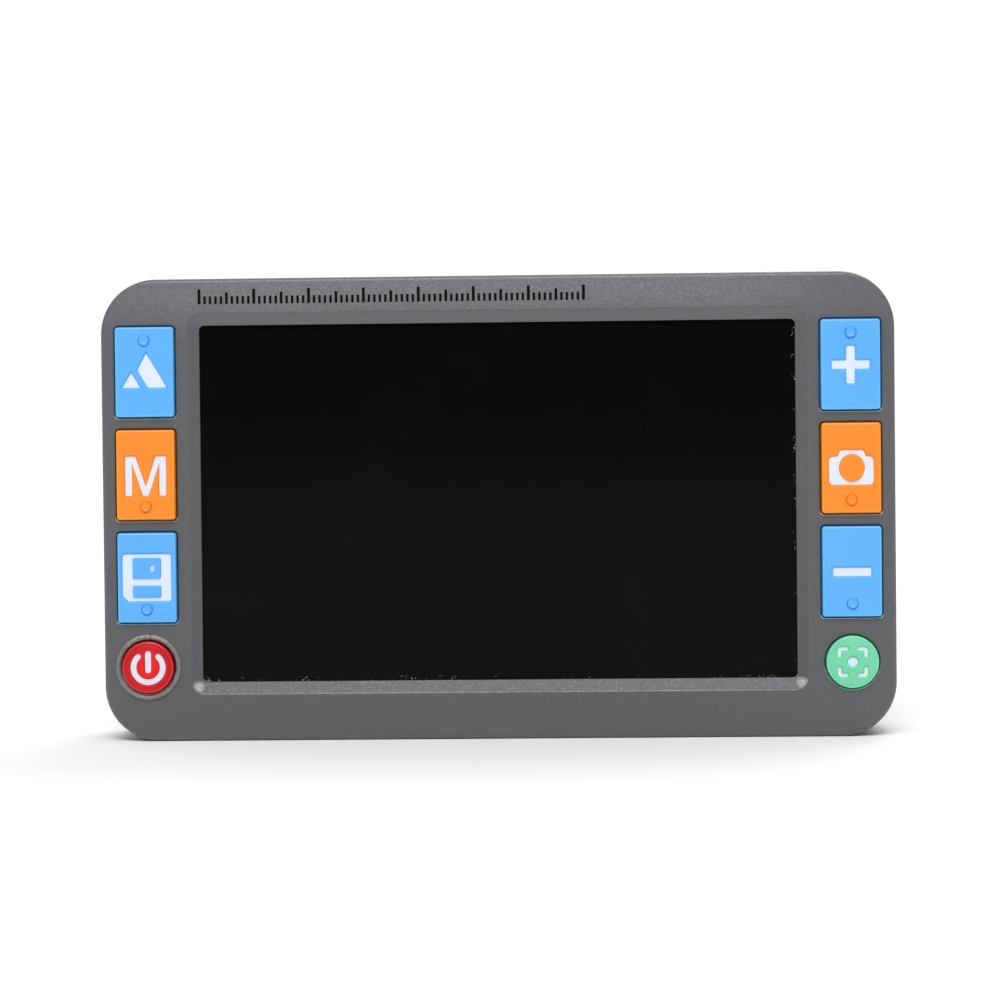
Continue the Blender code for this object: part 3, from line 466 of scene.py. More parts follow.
# ---------------------------------------------------------------- outlines and profiles
def circle(radius, x=0.0, z=0.0, tall=1.0, sides=40):
    turns = [2 * math.pi * i / sides for i in range(sides)]
    return [(x + radius * math.cos(turn), z + tall * radius * math.sin(turn)) for turn in turns]


def rectangle(left, right, low, high):
    return [(left, low), (right, low), (right, high), (left, high)]


def rounded(corners, radius, steps=4):
    """An outline with each corner of a polygon rounded; a corner's own radius may be its third number."""
    points = []
    count = len(corners)
    for i, corner in enumerate(corners):
        here = Vector(corner[:2])
        before = (Vector(corners[i - 1][:2]) - here).normalized()
        after = (Vector(corners[(i + 1) % count][:2]) - here).normalized()
        bend = corner[2] if len(corner) > 2 else radius
        half = before.angle(after) / 2
        reach = bend / math.tan(half)
        centre = here + (before + after).normalized() * bend / math.sin(half)
        start, end = here + before * reach - centre, here + after * reach - centre
        sweep = start.angle_signed(end)
        for step in range(steps + 1):
            turn = Matrix.Rotation(-sweep * step / steps, 2)
            points.append(tuple(centre + turn @ start))
    return points


def grown(corners, reach):
    """A polygon with its sides moved outwards; a third number in a corner, its radius, grows with it."""
    area = sum(a[0] * b[1] - b[0] * a[1] for a, b in zip(corners, corners[1:] + corners[:1]))
    turn = 1 if area > 0 else -1
    moved_corners = []
    for i, corner in enumerate(corners):
        here = Vector(corner[:2])
        into = (here - Vector(corners[i - 1][:2])).normalized()
        out = (Vector(corners[(i + 1) % len(corners)][:2]) - here).normalized()
        normals = [turn * Vector((side.y, -side.x)) for side in (into, out)]
        middle = (normals[0] + normals[1]).normalized()
        place = here + middle * reach / middle.dot(normals[0])
        bend = [max(corner[2] + reach, SHARP)] if len(corner) > 2 else []
        moved_corners.append((*place, *bend))
    return moved_corners


def at_depth(outline, y):
    """A flat outline of (x, z) pairs as points at a depth."""
    return [Vector((x, y, z)) for x, z in outline]


def round_ring(radius, y, sides=48):
    return at_depth(circle(radius, sides=sides), y)


def rounded_ring(width, height, radius, y, steps=8, top_radius=None):
    """Points of a rounded rectangle centred on the Y axis, in the XZ plane at y."""
    points = []
    for quarter, (side, rise) in enumerate(((1, 1), (-1, 1), (-1, -1), (1, -1))):
        bend = top_radius if top_radius and rise > 0 else radius
        corner = Vector((side * (width / 2 - bend), y, rise * (height / 2 - bend)))
        for step in range(steps + 1):
            angle = math.pi / 2 * (quarter + step / steps)
            points.append(corner + bend * Vector((math.cos(angle), 0, math.sin(angle))))
    return points


def quarter(radius, steps=5):
    """(inset, depth) pairs of a quarter round that starts flat along a face and ends square to it."""
    angles = [math.pi / 2 * step / steps for step in range(steps + 1)]
    return [(radius * (1 - math.sin(angle)), radius * (1 - math.cos(angle))) for angle in angles]


def rounding(face_y, radius, steps=5):
    """(inset, y) pairs of a quarter round that starts square to a back face and ends flat in it."""
    return [(inset, face_y - depth) for inset, depth in quarter(radius, steps)[::-1]]


def chamfered(low, high, ease):
    """(inset, place) pairs along a piece whose two ends are chamfered."""
    return [(ease, low), (0, low + ease), (0, high - ease), (ease, high)]


def middle(low, high, y=0.0):
    """The middle of a box in X and Z, at a depth."""
    return Vector(((low.x + high.x) / 2, y, (low.z + high.z) / 2))


# ---------------------------------------------------------------- mesh helpers
def bridge(mesh, near, far):
    for i, vertex in enumerate(near):
        j = (i + 1) % len(near)
        mesh.faces.new((vertex, near[j], far[j], far[i]))


def loop_at(mesh, outline, y):
    """Vertices of a flat outline at a depth."""
    return [mesh.verts.new(point) for point in at_depth(outline, y)]


def fill(mesh, loops):
    """Faces across nested loops of vertices; every second loop from the outside in bounds a hole."""
    vertices = [vertex for loop in loops for vertex in loop]
    for triangle in tessellate_polygon([[Vector((v.co.x, v.co.z, 0)) for v in loop] for loop in loops]):
        mesh.faces.new([vertices[i] for i in triangle])


def loft(rings, closed=False):
    """A closed mesh through rings: capped at both ends, or joined back to the first when closed."""
    mesh = bmesh.new()
    loops = [[mesh.verts.new(point) for point in ring] for ring in rings]
    for near, far in zip(loops, loops[1:]):
        bridge(mesh, near, far)
    if closed:
        bridge(mesh, loops[-1], loops[0])
    else:
        mesh.faces.new(loops[0])
        mesh.faces.new(loops[-1])
    return mesh


def turned(profile, sides=48, closed=False):
    """A solid turned about the Y axis from (radius, y) pairs; closed joins the last pair to the first."""
    return loft([round_ring(radius, y, sides) for radius, y in profile], closed)


def slab(width, height, radius, steps, segments=8):
    """A rounded plate about the Y axis, through (inset, y) steps; an inset below zero widens it."""
    return loft([rounded_ring(width - 2 * inset, height - 2 * inset, radius - inset, y, segments)
                 for inset, y in steps])


def prism(loops, low_y, high_y):
    """A plate between two depths, from flat outlines of (x, z) pairs: the first, then its holes."""
    mesh = bmesh.new()
    layers = [[loop_at(mesh, loop, y) for loop in loops] for y in (low_y, high_y)]
    for layer in layers:
        fill(mesh, layer)
    for near, far in zip(*layers):
        bridge(mesh, near, far)
    return mesh


def box(low, high):
    mesh = bmesh.new()
    low, high = Vector(low), Vector(high)
    place = Matrix.Translation((low + high) / 2) @ Matrix.Diagonal((*(high - low), 1))
    bmesh.ops.create_cube(mesh, size=1, matrix=place)
    return mesh


def along_x(mesh):
    bmesh.ops.rotate(mesh, verts=mesh.verts, matrix=Matrix.Rotation(-math.pi / 2, 3, "Z"))
    return mesh


def moved(mesh, offset):
    bmesh.ops.translate(mesh, verts=mesh.verts, vec=Vector(offset))
    return mesh


def on_hinge(profile, sides=32):
    """A solid turned about the hinge's axis, from (radius, x) pairs."""
    return moved(along_x(turned(profile, sides)), HINGE)


def merged(meshes):
    """One mesh of several separate closed ones."""
    total = bmesh.new()
    for mesh in meshes:
        data = bpy.data.meshes.new("part")
        mesh.to_mesh(data)
        mesh.free()
        total.from_mesh(data)
        bpy.data.meshes.remove(data)
    return total


def make(name, mesh, material, replaces=(), body="device"):
    """An object in the scene. Without a material it is a hidden tool for a Boolean."""
    data = bpy.data.meshes.new(name)
    bmesh.ops.recalc_face_normals(mesh, faces=mesh.faces)
    mesh.to_mesh(data)
    mesh.free()
    obj = bpy.data.objects.new(name, data)
    bpy.context.scene.collection.objects.link(obj)
    if material:
        data.materials.append(material)
        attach(obj, body)
        if replaces:
            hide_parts(*replaces)
    return obj


def carve(target, cuts=(), joins=()):
    """Joins and then cuts closed meshes with exact Booleans, and applies them in order."""
    for operation, meshes in (("UNION", joins), ("DIFFERENCE", cuts)):
        for mesh in meshes:
            tool = make(f"{target.name}_tool", mesh, None)
            step = target.modifiers.new("step", "BOOLEAN")
            step.operation, step.object, step.solver = operation, tool, "EXACT"
            depsgraph = bpy.context.evaluated_depsgraph_get()
            result = bpy.data.meshes.new_from_object(target.evaluated_get(depsgraph))
            target.modifiers.clear()
            old, target.data = target.data, result
            bpy.data.meshes.remove(old)
            bpy.data.objects.remove(tool)
    return target


def smooth(obj, angle=32):
    """Rounds shade smooth and flats stay flat: normals weighted by area, sharp edges kept."""
    mesh = bmesh.new()
    mesh.from_mesh(obj.data)
    bmesh.ops.remove_doubles(mesh, verts=mesh.verts, dist=1e-7)
    bmesh.ops.dissolve_degenerate(mesh, edges=mesh.edges, dist=1e-7)
    mesh.to_mesh(obj.data)
    mesh.free()
    obj.data.shade_smooth()
    obj.data.set_sharp_from_angle(angle=math.radians(angle))
    weights = obj.modifiers.new("weights", "WEIGHTED_NORMAL")
    weights.keep_sharp = True
    weights.weight = 100
    return obj


# ---------------------------------------------------------------- housings
def key_centre(name):
    return middle(*KEY_BOXES[name], FRONT_Y)


def body_ring(inset, y, steps=16):
    ring = rounded_ring(BODY_W - 2 * inset, BODY_H - 2 * inset, CORNER_R - inset, y, steps)
    return [point + Vector((0, 0, MIDDLE_Z)) for point in ring]


def body_plate(inset, low_y, high_y):
    return loft([body_ring(inset, low_y), body_ring(inset, high_y)])


def key_ring(margin, y, is_round):
    if is_round:
        return round_ring(ROUND_KEY_R + margin, y)
    width, height, radius = KEY_W + 2 * margin, KEY_H + 2 * margin, KEY_R + margin
    return rounded_ring(width, height, radius, y, 6)


def pocket(name):
    """A key's opening, with a lip rounded over where it meets the face."""
    is_round, lip = KEYS[name][1] == 0, 0.25 * MM
    gap = 0.28 * MM if name == "focus" else POCKET_GAP
    rings = [key_ring(gap + lip, -OVERLAP, is_round)]
    rings += [key_ring(gap + inset, depth, is_round) for inset, depth in quarter(lip, 4)]
    rings += [key_ring(gap, 0.6 * MM, is_round), key_ring(KEY_GAP, 0.9 * MM, is_round)]
    rings.append(key_ring(KEY_GAP, FACE_WALL + OVERLAP, is_round))
    return moved(loft(rings), key_centre(name))


def beside_key(name, point, margin=0.8 * MM):
    """Whether a point lies within a margin of a key's outline."""
    offset = point - key_centre(name)
    if KEYS[name][1] == 0:
        return math.hypot(offset.x, offset.z) < ROUND_KEY_R + margin
    return abs(offset.x) < KEY_W / 2 + margin and abs(offset.z) < KEY_H / 2 + margin


def window():
    """The display's opening: a sloping band, softened where it meets the face, then a square lip."""
    lip = 0.35 * MM
    steps = [
        (BAND_W + lip * 0.6, -OVERLAP), (BAND_W + lip * 0.6, 0), (BAND_W + lip * 0.2, 0.03 * MM),
        (BAND_W - lip * 0.15, 0.12 * MM), (0.12 * MM, BAND_DEPTH - 0.06 * MM), (0.03 * MM, BAND_DEPTH),
        (0, BAND_DEPTH + 0.1 * MM), (0, FACE_WALL + OVERLAP),
    ]
    rings = []
    for reach, depth in steps:
        radius = WINDOW_R + (BAND_R - WINDOW_R) * reach / BAND_W
        rings.append(rounded_ring(WINDOW_W + 2 * reach, WINDOW_H + 2 * reach, radius, depth))
    return moved(loft(rings), (0, FRONT_Y, WINDOW_Z))


def front_shell(*materials):
    """The front housing, with its face, its rounded edges, the window's band and the pockets' lips in turn."""
    rings = [body_ring(inset, FRONT_Y + depth) for inset, depth in quarter(FRONT_FILLET, 6)]
    rings += [body_ring(0, SEAM_FRONT - SEAM_EDGE), body_ring(SEAM_EDGE, SEAM_FRONT)]
    shell = make("front_shell", loft(rings), materials[0], ["front_housing"])
    for material in materials[1:]:
        shell.data.materials.append(material)
    rebate, rebate_depth = 0.85 * MM, 1.6 * MM
    cuts = [body_plate(SIDE_WALL, FRONT_Y + FACE_WALL, SEAM_FRONT + OVERLAP)]
    cuts += [body_plate(rebate, SEAM_FRONT - rebate_depth, SEAM_FRONT + OVERLAP), window()]
    cuts += [pocket(name) for name in KEYS]
    smooth(carve(shell, cuts))
    _, edge, band, lip = range(4)
    for face in shell.data.polygons:
        depth, tilt = face.center.y - FRONT_Y, abs(face.normal.y)
        across, above = abs(face.center.x), abs(face.center.z - WINDOW_Z)
        reach = BAND_W + 0.1 * MM
        in_window = across < WINDOW_W / 2 + reach and above < WINDOW_H / 2 + reach
        if in_window and 0.13 * MM < depth < BAND_DEPTH:
            face.material_index = band
        elif 0 < depth < 0.6 * MM and 0.12 < tilt < 0.99:
            face.material_index = lip if any(beside_key(name, face.center) for name in KEYS) else edge


def power_ring(material):
    """The raised ring round the power key."""
    angles = [math.pi * step / 12 for step in range(13)]
    section = [(COLLAR_R + COLLAR_TUBE * math.cos(a), -COLLAR_TUBE * math.sin(a)) for a in angles]
    section += [(COLLAR_R - COLLAR_TUBE, 0.3 * MM), (COLLAR_R + COLLAR_TUBE, 0.3 * MM)]
    mesh = moved(turned(section, 64, closed=True), key_centre("power"))
    smooth(make("power_ring", mesh, material), 60)


def rear_shell(grey):
    """The rear housing, with the stand's well, the holes of the back and the ports of the right side."""
    rings = [body_ring(inset, y) for inset, y in
             [(SEAM_EDGE, SEAM_BACK), (0, SEAM_BACK + SEAM_EDGE), *rounding(BACK_Y, BACK_FILLET, 10)]]
    shell = make("rear_shell", loft(rings), grey, ["rear_housing"])
    tongue, tongue_height = 0.95 * MM, 1.3 * MM
    joins = [body_plate(tongue, SEAM_BACK - tongue_height, SEAM_BACK + OVERLAP)]
    hollow = body_plate(SIDE_WALL, SEAM_BACK - 3 * MM, BACK_Y - BACK_WALL)
    carve(shell, [hollow], joins)
    carve(shell, *stand_well())
    carve(shell, back_holes() + side_ports())
    smooth(shell)


def stand_well():
    """The cuts and the walls of the well that the stand folds into, and of the scoop below it."""
    gap, wall, lip, corner, top_corner = 0.4 * MM, 1.5 * MM, 0.25 * MM, 3 * MM, 0.6 * MM
    low, high = PAD_LOW.z - gap, STAND_HIGH.z + gap
    width, height, centre = STAND_HIGH.x - STAND_LOW.x + 2 * gap, high - low, (high + low) / 2
    island_low, island_high = PAD_LOW.z + STAND_BAR + gap, ROD_LOW.z - 1.4 * MM
    island_w, island_h = width - 2 * STAND_ARM - 4 * gap, island_high - island_low
    island_z = (island_low + island_high) / 2 - centre
    floor, inner_back = STAND_LOW.y - gap, BACK_Y - BACK_WALL + OVERLAP

    def outline(grow, grow_sides, y):
        size = (width + 2 * grow_sides, height + 2 * grow)
        return rounded_ring(*size, corner + grow, y, 8, top_corner + grow)

    def island(grow, y):
        ring = rounded_ring(island_w + 2 * grow, island_h + 2 * grow, corner + grow, y)
        return [point + Vector((0, 0, island_z)) for point in ring]

    def channel(grow, side_grow, steps):
        outer = [outline(grow + lean, side_grow + lean, y) for lean, y in steps[::-1]]
        rings = outer + [island(-grow - lean, y) for lean, y in steps]
        return moved(loft(rings, closed=True), (0, 0, centre))

    mouth = [*rounding(BACK_Y, lip, 4), (lip, BACK_Y + OVERLAP)]
    scoop_w, scoop_h, scoop_r, scoop_place = 22 * MM, 9 * MM, 4 * MM, (0, 0, 11.5 * MM)
    scoop_floor, scoop_fillet = floor + 0.1 * MM, 2 * MM
    dish = [(inset, scoop_floor + depth) for inset, depth in quarter(scoop_fillet, 6)]
    scoop = slab(scoop_w, scoop_h, scoop_r, dish + [(-grow, y) for grow, y in mouth])
    scoop_wall = slab(scoop_w + 2 * wall, scoop_h + 2 * wall, scoop_r, [(0, scoop_floor - wall), (0, inner_back)])
    walls = [channel(wall, 2 * wall, [(0, floor - wall), (0, inner_back)]), moved(scoop_wall, scoop_place)]
    cuts = [channel(0, 0, [(0, floor), *mouth]), moved(scoop, scoop_place)]
    rod_reach, socket_depth = (ROD_HIGH.x - ROD_LOW.x) / 2 + 0.1 * MM, 3.8 * MM
    for side in (-1, 1):
        near, far = sorted((side * rod_reach, side * (rod_reach - socket_depth)))
        cuts.append(on_hinge(((HINGE_BORE, near), (HINGE_BORE, far)), 24))
    return cuts, walls


def back_holes():
    """Stepped holes for the screws, the feet, the camera's ring and the two lights."""
    outside, inside, lip = BACK_Y + OVERLAP, BACK_Y - BACK_WALL - OVERLAP, 0.2 * MM
    shank_r, head_r, seat = 1.2 * MM, 2.2 * MM, 9.05 * MM
    screw = [(shank_r, SEAM_BACK - 2 * MM), (shank_r, seat), (head_r, seat)]
    screw += [(head_r + grow, y) for grow, y in rounding(BACK_Y, lip, 3)] + [(head_r + lip, outside)]
    foot = [(4 * MM, BACK_Y - 0.5 * MM), (4 * MM, outside)]
    holes = []
    for i in range(1, 5):
        holes.append(moved(turned(screw, 32), middle(*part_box(f"case_screw_{i}"))))
        holes.append(moved(turned(foot), middle(*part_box(f"rear_foot_{i}"))))
    seats = [(0, 5.6 * MM, 8.1 * MM, 0.8 * MM, 64)]
    seats += [(x, 3 * MM, 4.1 * MM, 0.5 * MM, 48) for x in (-LIGHT_X, LIGHT_X)]
    for x, hole_r, seat_r, sunk, sides in seats:
        profile = ((hole_r, inside), (hole_r, BACK_Y - sunk), (seat_r, BACK_Y - sunk), (seat_r, outside))
        holes.append(moved(turned(profile, sides), (x, 0, CAMERA_Z)))
    return holes


def side_ports():
    """Openings in the right wall, each with an edge softened on the outside."""
    gap, lip, jack_r, card_corner = 0.3 * MM, 0.25 * MM, 2.7 * MM, 0.3 * MM
    steps = [(0, -2 * SIDE_WALL), (0, -lip), (lip * 0.3, -lip * 0.3), (lip, 0), (lip, OVERLAP)]
    ports = []
    for node in ("usb_socket", "memory_card", "av_jack"):
        low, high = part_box(node)
        if node == "av_jack":
            mesh = turned([(jack_r + grow, x) for grow, x in steps], 40)
        else:
            depth, height = high.y - low.y + 2 * gap, high.z - low.z + 2 * gap
            corner = card_corner if node == "memory_card" else depth / 2 - 0.01 * MM
            mesh = slab(depth, height, corner, [(-grow, x) for grow, x in steps])
        ports.append(moved(along_x(mesh), (REAR_HIGH.x, (low.y + high.y) / 2, (low.z + high.z) / 2)))
    return ports


# ---------------------------------------------------------------- key symbols, in millimetres from a key's centre
SHARP = 0.05  # the least corner radius of a symbol


def image_symbol(reach):
    peak = [(0.35, 3.45), (4.12, -2.88), (0.62, -2.88), (-1.30, 0.32)]
    hill = [(-2.41, -0.05), (-0.72, -2.88), (-4.12, -2.88)]
    return [[rounded(grown(shape, reach), SHARP)] for shape in (peak, hill)]


def mode_symbol(reach):
    half_w, half_h, stroke, middle = 3.72, 3.58, 1.20, -0.2
    top, low = middle + half_h, middle - half_h
    outline = [
        (-half_w, low), (-half_w + stroke, low), (-half_w + stroke, top - 1.12, SHARP), (-0.52, low),
        (0.52, low), (half_w - stroke, top - 1.12, SHARP), (half_w - stroke, low), (half_w, low),
        (half_w, top), (half_w - 1.86, top), (0, low + 1.54, SHARP), (-half_w + 1.86, top), (-half_w, top),
    ]
    return [[rounded(grown(outline, reach), 0.22, 3)]]


def save_symbol(reach):
    body = [(4.47, 4.34, 0.5), (-4.47, 4.34, 0.5), (-4.47, -3.3, 0.2), (-3.42, -4.32, 0.2), (4.47, -4.32, 0.5)]
    shutter = [(x, z, 0.3) for x, z in rectangle(-2.6, 2.6, -0.15, 3.6)]
    label = [(x, z, 0.3) for x, z in rectangle(-2.6, 2.6, -3.6, -1.45)]
    tab = [(x, z, 0.4) for x, z in rectangle(0.57, 1.43, 1.05, 2.5)]
    islands = [rounded(grown(shape, -reach / 2), 0.3) for shape in (shutter, label)]
    return [[rounded(grown(body, reach), 0.4), *islands], [rounded(tab, 0.2)]]


def plus_symbol(reach):
    arm, half, z = 3.46, 0.83, -0.1
    corners = [(arm, -half), (arm, half), (half, half, 0.12), (half, arm), (-half, arm), (-half, half, 0.12),
               (-arm, half), (-arm, -half), (-half, -half, 0.12), (-half, -arm), (half, -arm), (half, -half, 0.12)]
    return [[rounded(grown([(c[0], c[1] + z, *c[2:]) for c in corners], reach), 0.28)]]


def minus_symbol(reach):
    return [[rounded(grown(rectangle(-3.5, 3.5, -0.93, 0.73), reach), 0.28)]]


def camera_symbol(reach):
    half, low, high, top = 4.08, -3.12, 2.1, 3.25
    outline = [(half, low, 0.85), (half, high, 0.8), (2.7, high, 0.3), (2.15, top, 0.4), (-2.0, top, 0.4),
               (-2.55, high, 0.3), (-half, high, 0.8), (-half, low, 0.85)]
    return [[rounded(grown(outline, reach), 0.5), circle(2.32 - reach / 2, 0.1, 0.0, 1.07)]]


def power_symbol(reach):
    outer, inner, gap = 3.2 + reach, 2.17 - reach, math.radians(43)
    middle, half = (outer + inner) / 2, (outer - inner) / 2
    start, sweep, steps = math.pi / 2 + gap, 2 * math.pi - 2 * gap, 36
    turns = [start + sweep * i / steps for i in range(steps + 1)]
    caps = [math.pi * i / 6 for i in range(1, 6)]
    ends = [(middle * math.cos(turn), middle * math.sin(turn)) for turn in (start, start + sweep)]
    ring = [(outer * math.cos(t), outer * math.sin(t)) for t in turns]
    ring += [(ends[1][0] + half * math.cos(turns[-1] + a), ends[1][1] + half * math.sin(turns[-1] + a)) for a in caps]
    ring += [(inner * math.cos(t), inner * math.sin(t)) for t in turns[::-1]]
    ring += [(ends[0][0] - half * math.cos(start + a), ends[0][1] - half * math.sin(start + a)) for a in caps]
    bar = [(x, z, 0.5) for x, z in rectangle(-0.53, 0.53, -1.0, 3.0)]
    return [[ring], [rounded(grown(bar, reach), 0.5, 6)]]


def focus_symbol(reach):
    half, arm, stroke, end = 2.68, 1.75, 0.55, 0.22
    near, far = half - arm, half - stroke
    corners = [(half, half, 0.6), (near, half, end), (near, far, end), (far, far, 0.1), (far, near, end),
               (half, near, end)]
    shapes = []
    for side in (-1, 1):
        for rise in (-1, 1):
            placed = [(side * x, rise * z, bend) for x, z, bend in corners]
            shapes.append([rounded(grown(placed, reach), 0.1)])
    return shapes + [[circle(0.84 + reach)]]


SYMBOLS = {
    "image": image_symbol,
    "mode": mode_symbol,
    "save": save_symbol,
    "zoom_in": plus_symbol,
    "snapshot": camera_symbol,
    "zoom_out": minus_symbol,
    "power": power_symbol,
    "focus": focus_symbol,
}


def in_metres(loops):
    return [[(x * MM, z * MM) for x, z in loop] for loop in loops]


# ---------------------------------------------------------------- keys
# (radius, depth below the key's face, drop of the ring's centre), in millimetres: a button with a rounded rim and a
# shallow dish in its top, in a moat that is wider below it
DOT_PROFILE = (
    (1.12, 0, 0.15), (1.08, 0.18, 0.12), (1.0, 0.24, 0.05), (0.935, 0.2, 0), (0.925, 0, 0), (0.915, -0.12, 0),
    (0.89, -0.2, 0), (0.85, -0.255, 0), (0.79, -0.288, 0), (0.72, -0.285, 0), (0.64, -0.25, 0), (0.55, -0.19, 0),
    (0.45, -0.145, 0), (0.3, -0.12, 0), (0.15, -0.115, 0),
)
# how far each inlay is grown from its drawn outline, in millimetres
INLAY_REACH = {
    "image": -0.05, "mode": -0.01, "save": -0.06, "zoom_in": -0.08, "snapshot": -0.08, "zoom_out": -0.08,
    "power": 0.0, "focus": 0.04,
}
GROOVE_R = {"power": 4.05, "focus": 4.35}  # a fine groove round each round key's face, in millimetres


def turned_rings(mesh, profile, height):
    """Rings of vertices about a key's axis, or one parallel to it, joined by faces."""
    rings = [loop_at(mesh, circle(radius * MM, 0, height - drop * MM, sides=48), y * MM - KEY_PROUD)
             for radius, y, drop in profile]
    for near, far in zip(rings, rings[1:]):
        bridge(mesh, near, far)
    return rings


def key_mesh(name):
    """A key's cap, closed: its flange and sides, the rounded rim, and a face with a sunk symbol."""
    dot = KEYS[name][1]
    draft = KEY_DRAFT if dot else 0
    sides = [(FLANGE, FLANGE_HIGH), (FLANGE, FLANGE_LOW), (0, FLANGE_LOW)]
    sides += [(-draft - inset, depth - KEY_PROUD) for inset, depth in quarter(KEY_RIM)[::-1]]
    mesh = bmesh.new()
    rings = [[mesh.verts.new(point) for point in key_ring(margin, y, not dot)] for margin, y in sides]
    for near, far in zip(rings, rings[1:]):
        bridge(mesh, near, far)
    mesh.faces.new(rings[0])
    face = [rings[-1]]
    if dot:
        raised = turned_rings(mesh, DOT_PROFILE, dot * DOT_OFFSET)
        mesh.faces.new(raised[-1])
        face.append(raised[0])
    else:
        radius, half_w, deep = GROOVE_R[name], 0.1, 0.06
        groove = turned_rings(mesh, ((radius + half_w, 0, 0), (radius, deep, 0), (radius - half_w, 0, 0)), 0)
        face += [groove[0], groove[-1]]
    symbol, reach = SYMBOLS[name], INLAY_REACH[name]
    for mouth, floor in zip(symbol(MOUTH_REACH), symbol(reach - FLOOR_INSET)):
        near = [loop_at(mesh, loop, -KEY_PROUD) for loop in in_metres(mouth)]
        far = [loop_at(mesh, loop, ICON_DEPTH - KEY_PROUD) for loop in in_metres(floor)]
        for high, low in zip(near, far):
            bridge(mesh, high, low)
        fill(mesh, far)
        face += near
    fill(mesh, face)
    return mesh


def key_cap(name, material, rim_material, ink):
    """A sprung key: its cap, and the white inlay of its symbol."""
    (colour, dot), body, centre = KEYS[name], f"{name}_button", key_centre(name)
    cap = make(f"{name}_cap", moved(key_mesh(name), centre), material, [f"{name}_key"], body)
    smooth(cap)
    cap.data.materials.append(rim_material)
    for face in cap.data.polygons:
        place = face.center - centre
        if dot:
            inset = min(KEY_W / 2 - abs(place.x), KEY_H / 2 - abs(place.z))
        else:
            inset = ROUND_KEY_R - math.hypot(place.x, place.z)
        if inset < KEY_RIM and place.y > -KEY_PROUD:
            face.material_index = 1
    low, high = ICON_SINK - KEY_PROUD, ICON_DEPTH + 0.08 * MM - KEY_PROUD
    inlay = merged([prism(in_metres(loops), low, high) for loops in SYMBOLS[name](INLAY_REACH[name])])
    make(f"{name}_symbol", moved(inlay, centre), ink, body=body).data.shade_flat()


# ---------------------------------------------------------------- front details
def screen(material):
    """The cover glass, with its edge eased all round."""
    width, height = COVER_HIGH.x - COVER_LOW.x, COVER_HIGH.z - COVER_LOW.z
    glass = slab(width, height, 1 * MM, chamfered(COVER_LOW.y, COVER_HIGH.y, 0.15 * MM), 6)
    smooth(make("screen_glass", moved(glass, (0, 0, WINDOW_Z)), material, ["screen_cover"]))


def printed_scale(ink):
    """A printed scale of plain lines above the window, one to a millimetre, longer at fives and tens."""
    left, count, low_z = -54 * MM, 70, 79.75 * MM
    front, back = FRONT_Y - 0.015 * MM, FRONT_Y + 0.1 * MM
    lines = []
    for i in range(count + 1):
        tall, width = (2.7, 0.54) if i % 10 == 0 else (2.1, 0.5) if i % 5 == 0 else (1.4, 0.46)
        x, half = left + i * MM, width * MM / 2
        lines.append(prism([rectangle(x - half, x + half, low_z, low_z + tall * MM)], front, back))
    make("printed_scale", merged(lines), ink).data.shade_flat()


# ---------------------------------------------------------------- back details
def stand(grey, soft, steel):
    """The stand with its rubber foot, and the rod that it turns on."""
    width, height = STAND_HIGH.x - STAND_LOW.x, STAND_HIGH.z - STAND_LOW.z
    y_low, y_high = STAND_LOW.y, STAND_HIGH.y
    ease, corner, barrel_r = 0.45 * MM, 2.6 * MM, 1.9 * MM
    eased = [(inset, y_low + depth) for inset, depth in quarter(ease, 4)] + rounding(y_high, ease, 4)
    plate = moved(slab(width, height, corner, eased), (0, 0, (STAND_LOW.z + STAND_HIGH.z) / 2))
    bail = make("stand_bail", plate, grey, ["stand_frame"], "stand")
    open_low, open_high = PAD_LOW.z + STAND_BAR, STAND_HIGH.z + 2 * MM
    open_w, open_h = width - 2 * STAND_ARM, open_high - open_low
    flare = [(-ease, y_low - OVERLAP), *((-inset, y) for inset, y in eased), (-ease, y_high + OVERLAP)]
    opening = moved(slab(open_w, open_h, corner, flare), (0, 0, (open_low + open_high) / 2))
    carve(bail, [stand_nose(width, (y_high - y_low) / 2), opening])
    reach = open_w / 2 + OVERLAP
    play = Vector((0.1, 0.1, 0.1)) * MM
    bore, groove = on_hinge(((HINGE_BORE, -width), (HINGE_BORE, width))), box(PAD_LOW - play, PAD_HIGH + play)
    smooth(carve(bail, [bore, groove], [on_hinge(((barrel_r, -reach), (barrel_r, reach)))]))
    pad(soft)
    length = (ROD_HIGH.x - ROD_LOW.x) / 2
    pin = on_hinge([(1 * MM - inset, x) for inset, x in chamfered(-length, length, 0.25 * MM)])
    smooth(make("hinge_pin", pin, steel, ["hinge_rod"]))


def stand_nose(width, half):
    """What is cut off the stand's top edge to round it about the hinge."""
    arc = [math.pi * step / 16 for step in range(17)]
    far = half + OVERLAP
    outline = [(far, 0), *((half * math.cos(a), half * math.sin(a)) for a in arc), (-far, 0), (-far, far), (far, far)]
    mesh = prism([outline], -width, width)
    bmesh.ops.rotate(mesh, verts=mesh.verts, matrix=Matrix.Rotation(math.pi / 2, 3, "Z"))
    bmesh.ops.scale(mesh, verts=mesh.verts, vec=(-1, 1, 1))
    return moved(mesh, HINGE)


def pad(soft):
    """The stand's rubber foot, with grooves across its sole."""
    piece = make("stand_foot", box(PAD_LOW, PAD_HIGH), soft, ["stand_pad"], "stand")
    count, half, deep = 34, 0.3 * MM, 0.35 * MM
    cuts = []
    for i in range(1, count):
        x = PAD_LOW.x + (PAD_HIGH.x - PAD_LOW.x) * i / count
        cuts.append(box((x - half, PAD_LOW.y - OVERLAP, PAD_LOW.z - OVERLAP),
                        (x + half, PAD_HIGH.y + OVERLAP, PAD_LOW.z + deep)))
    carve(piece, [merged(cuts)])
    piece.data.shade_flat()


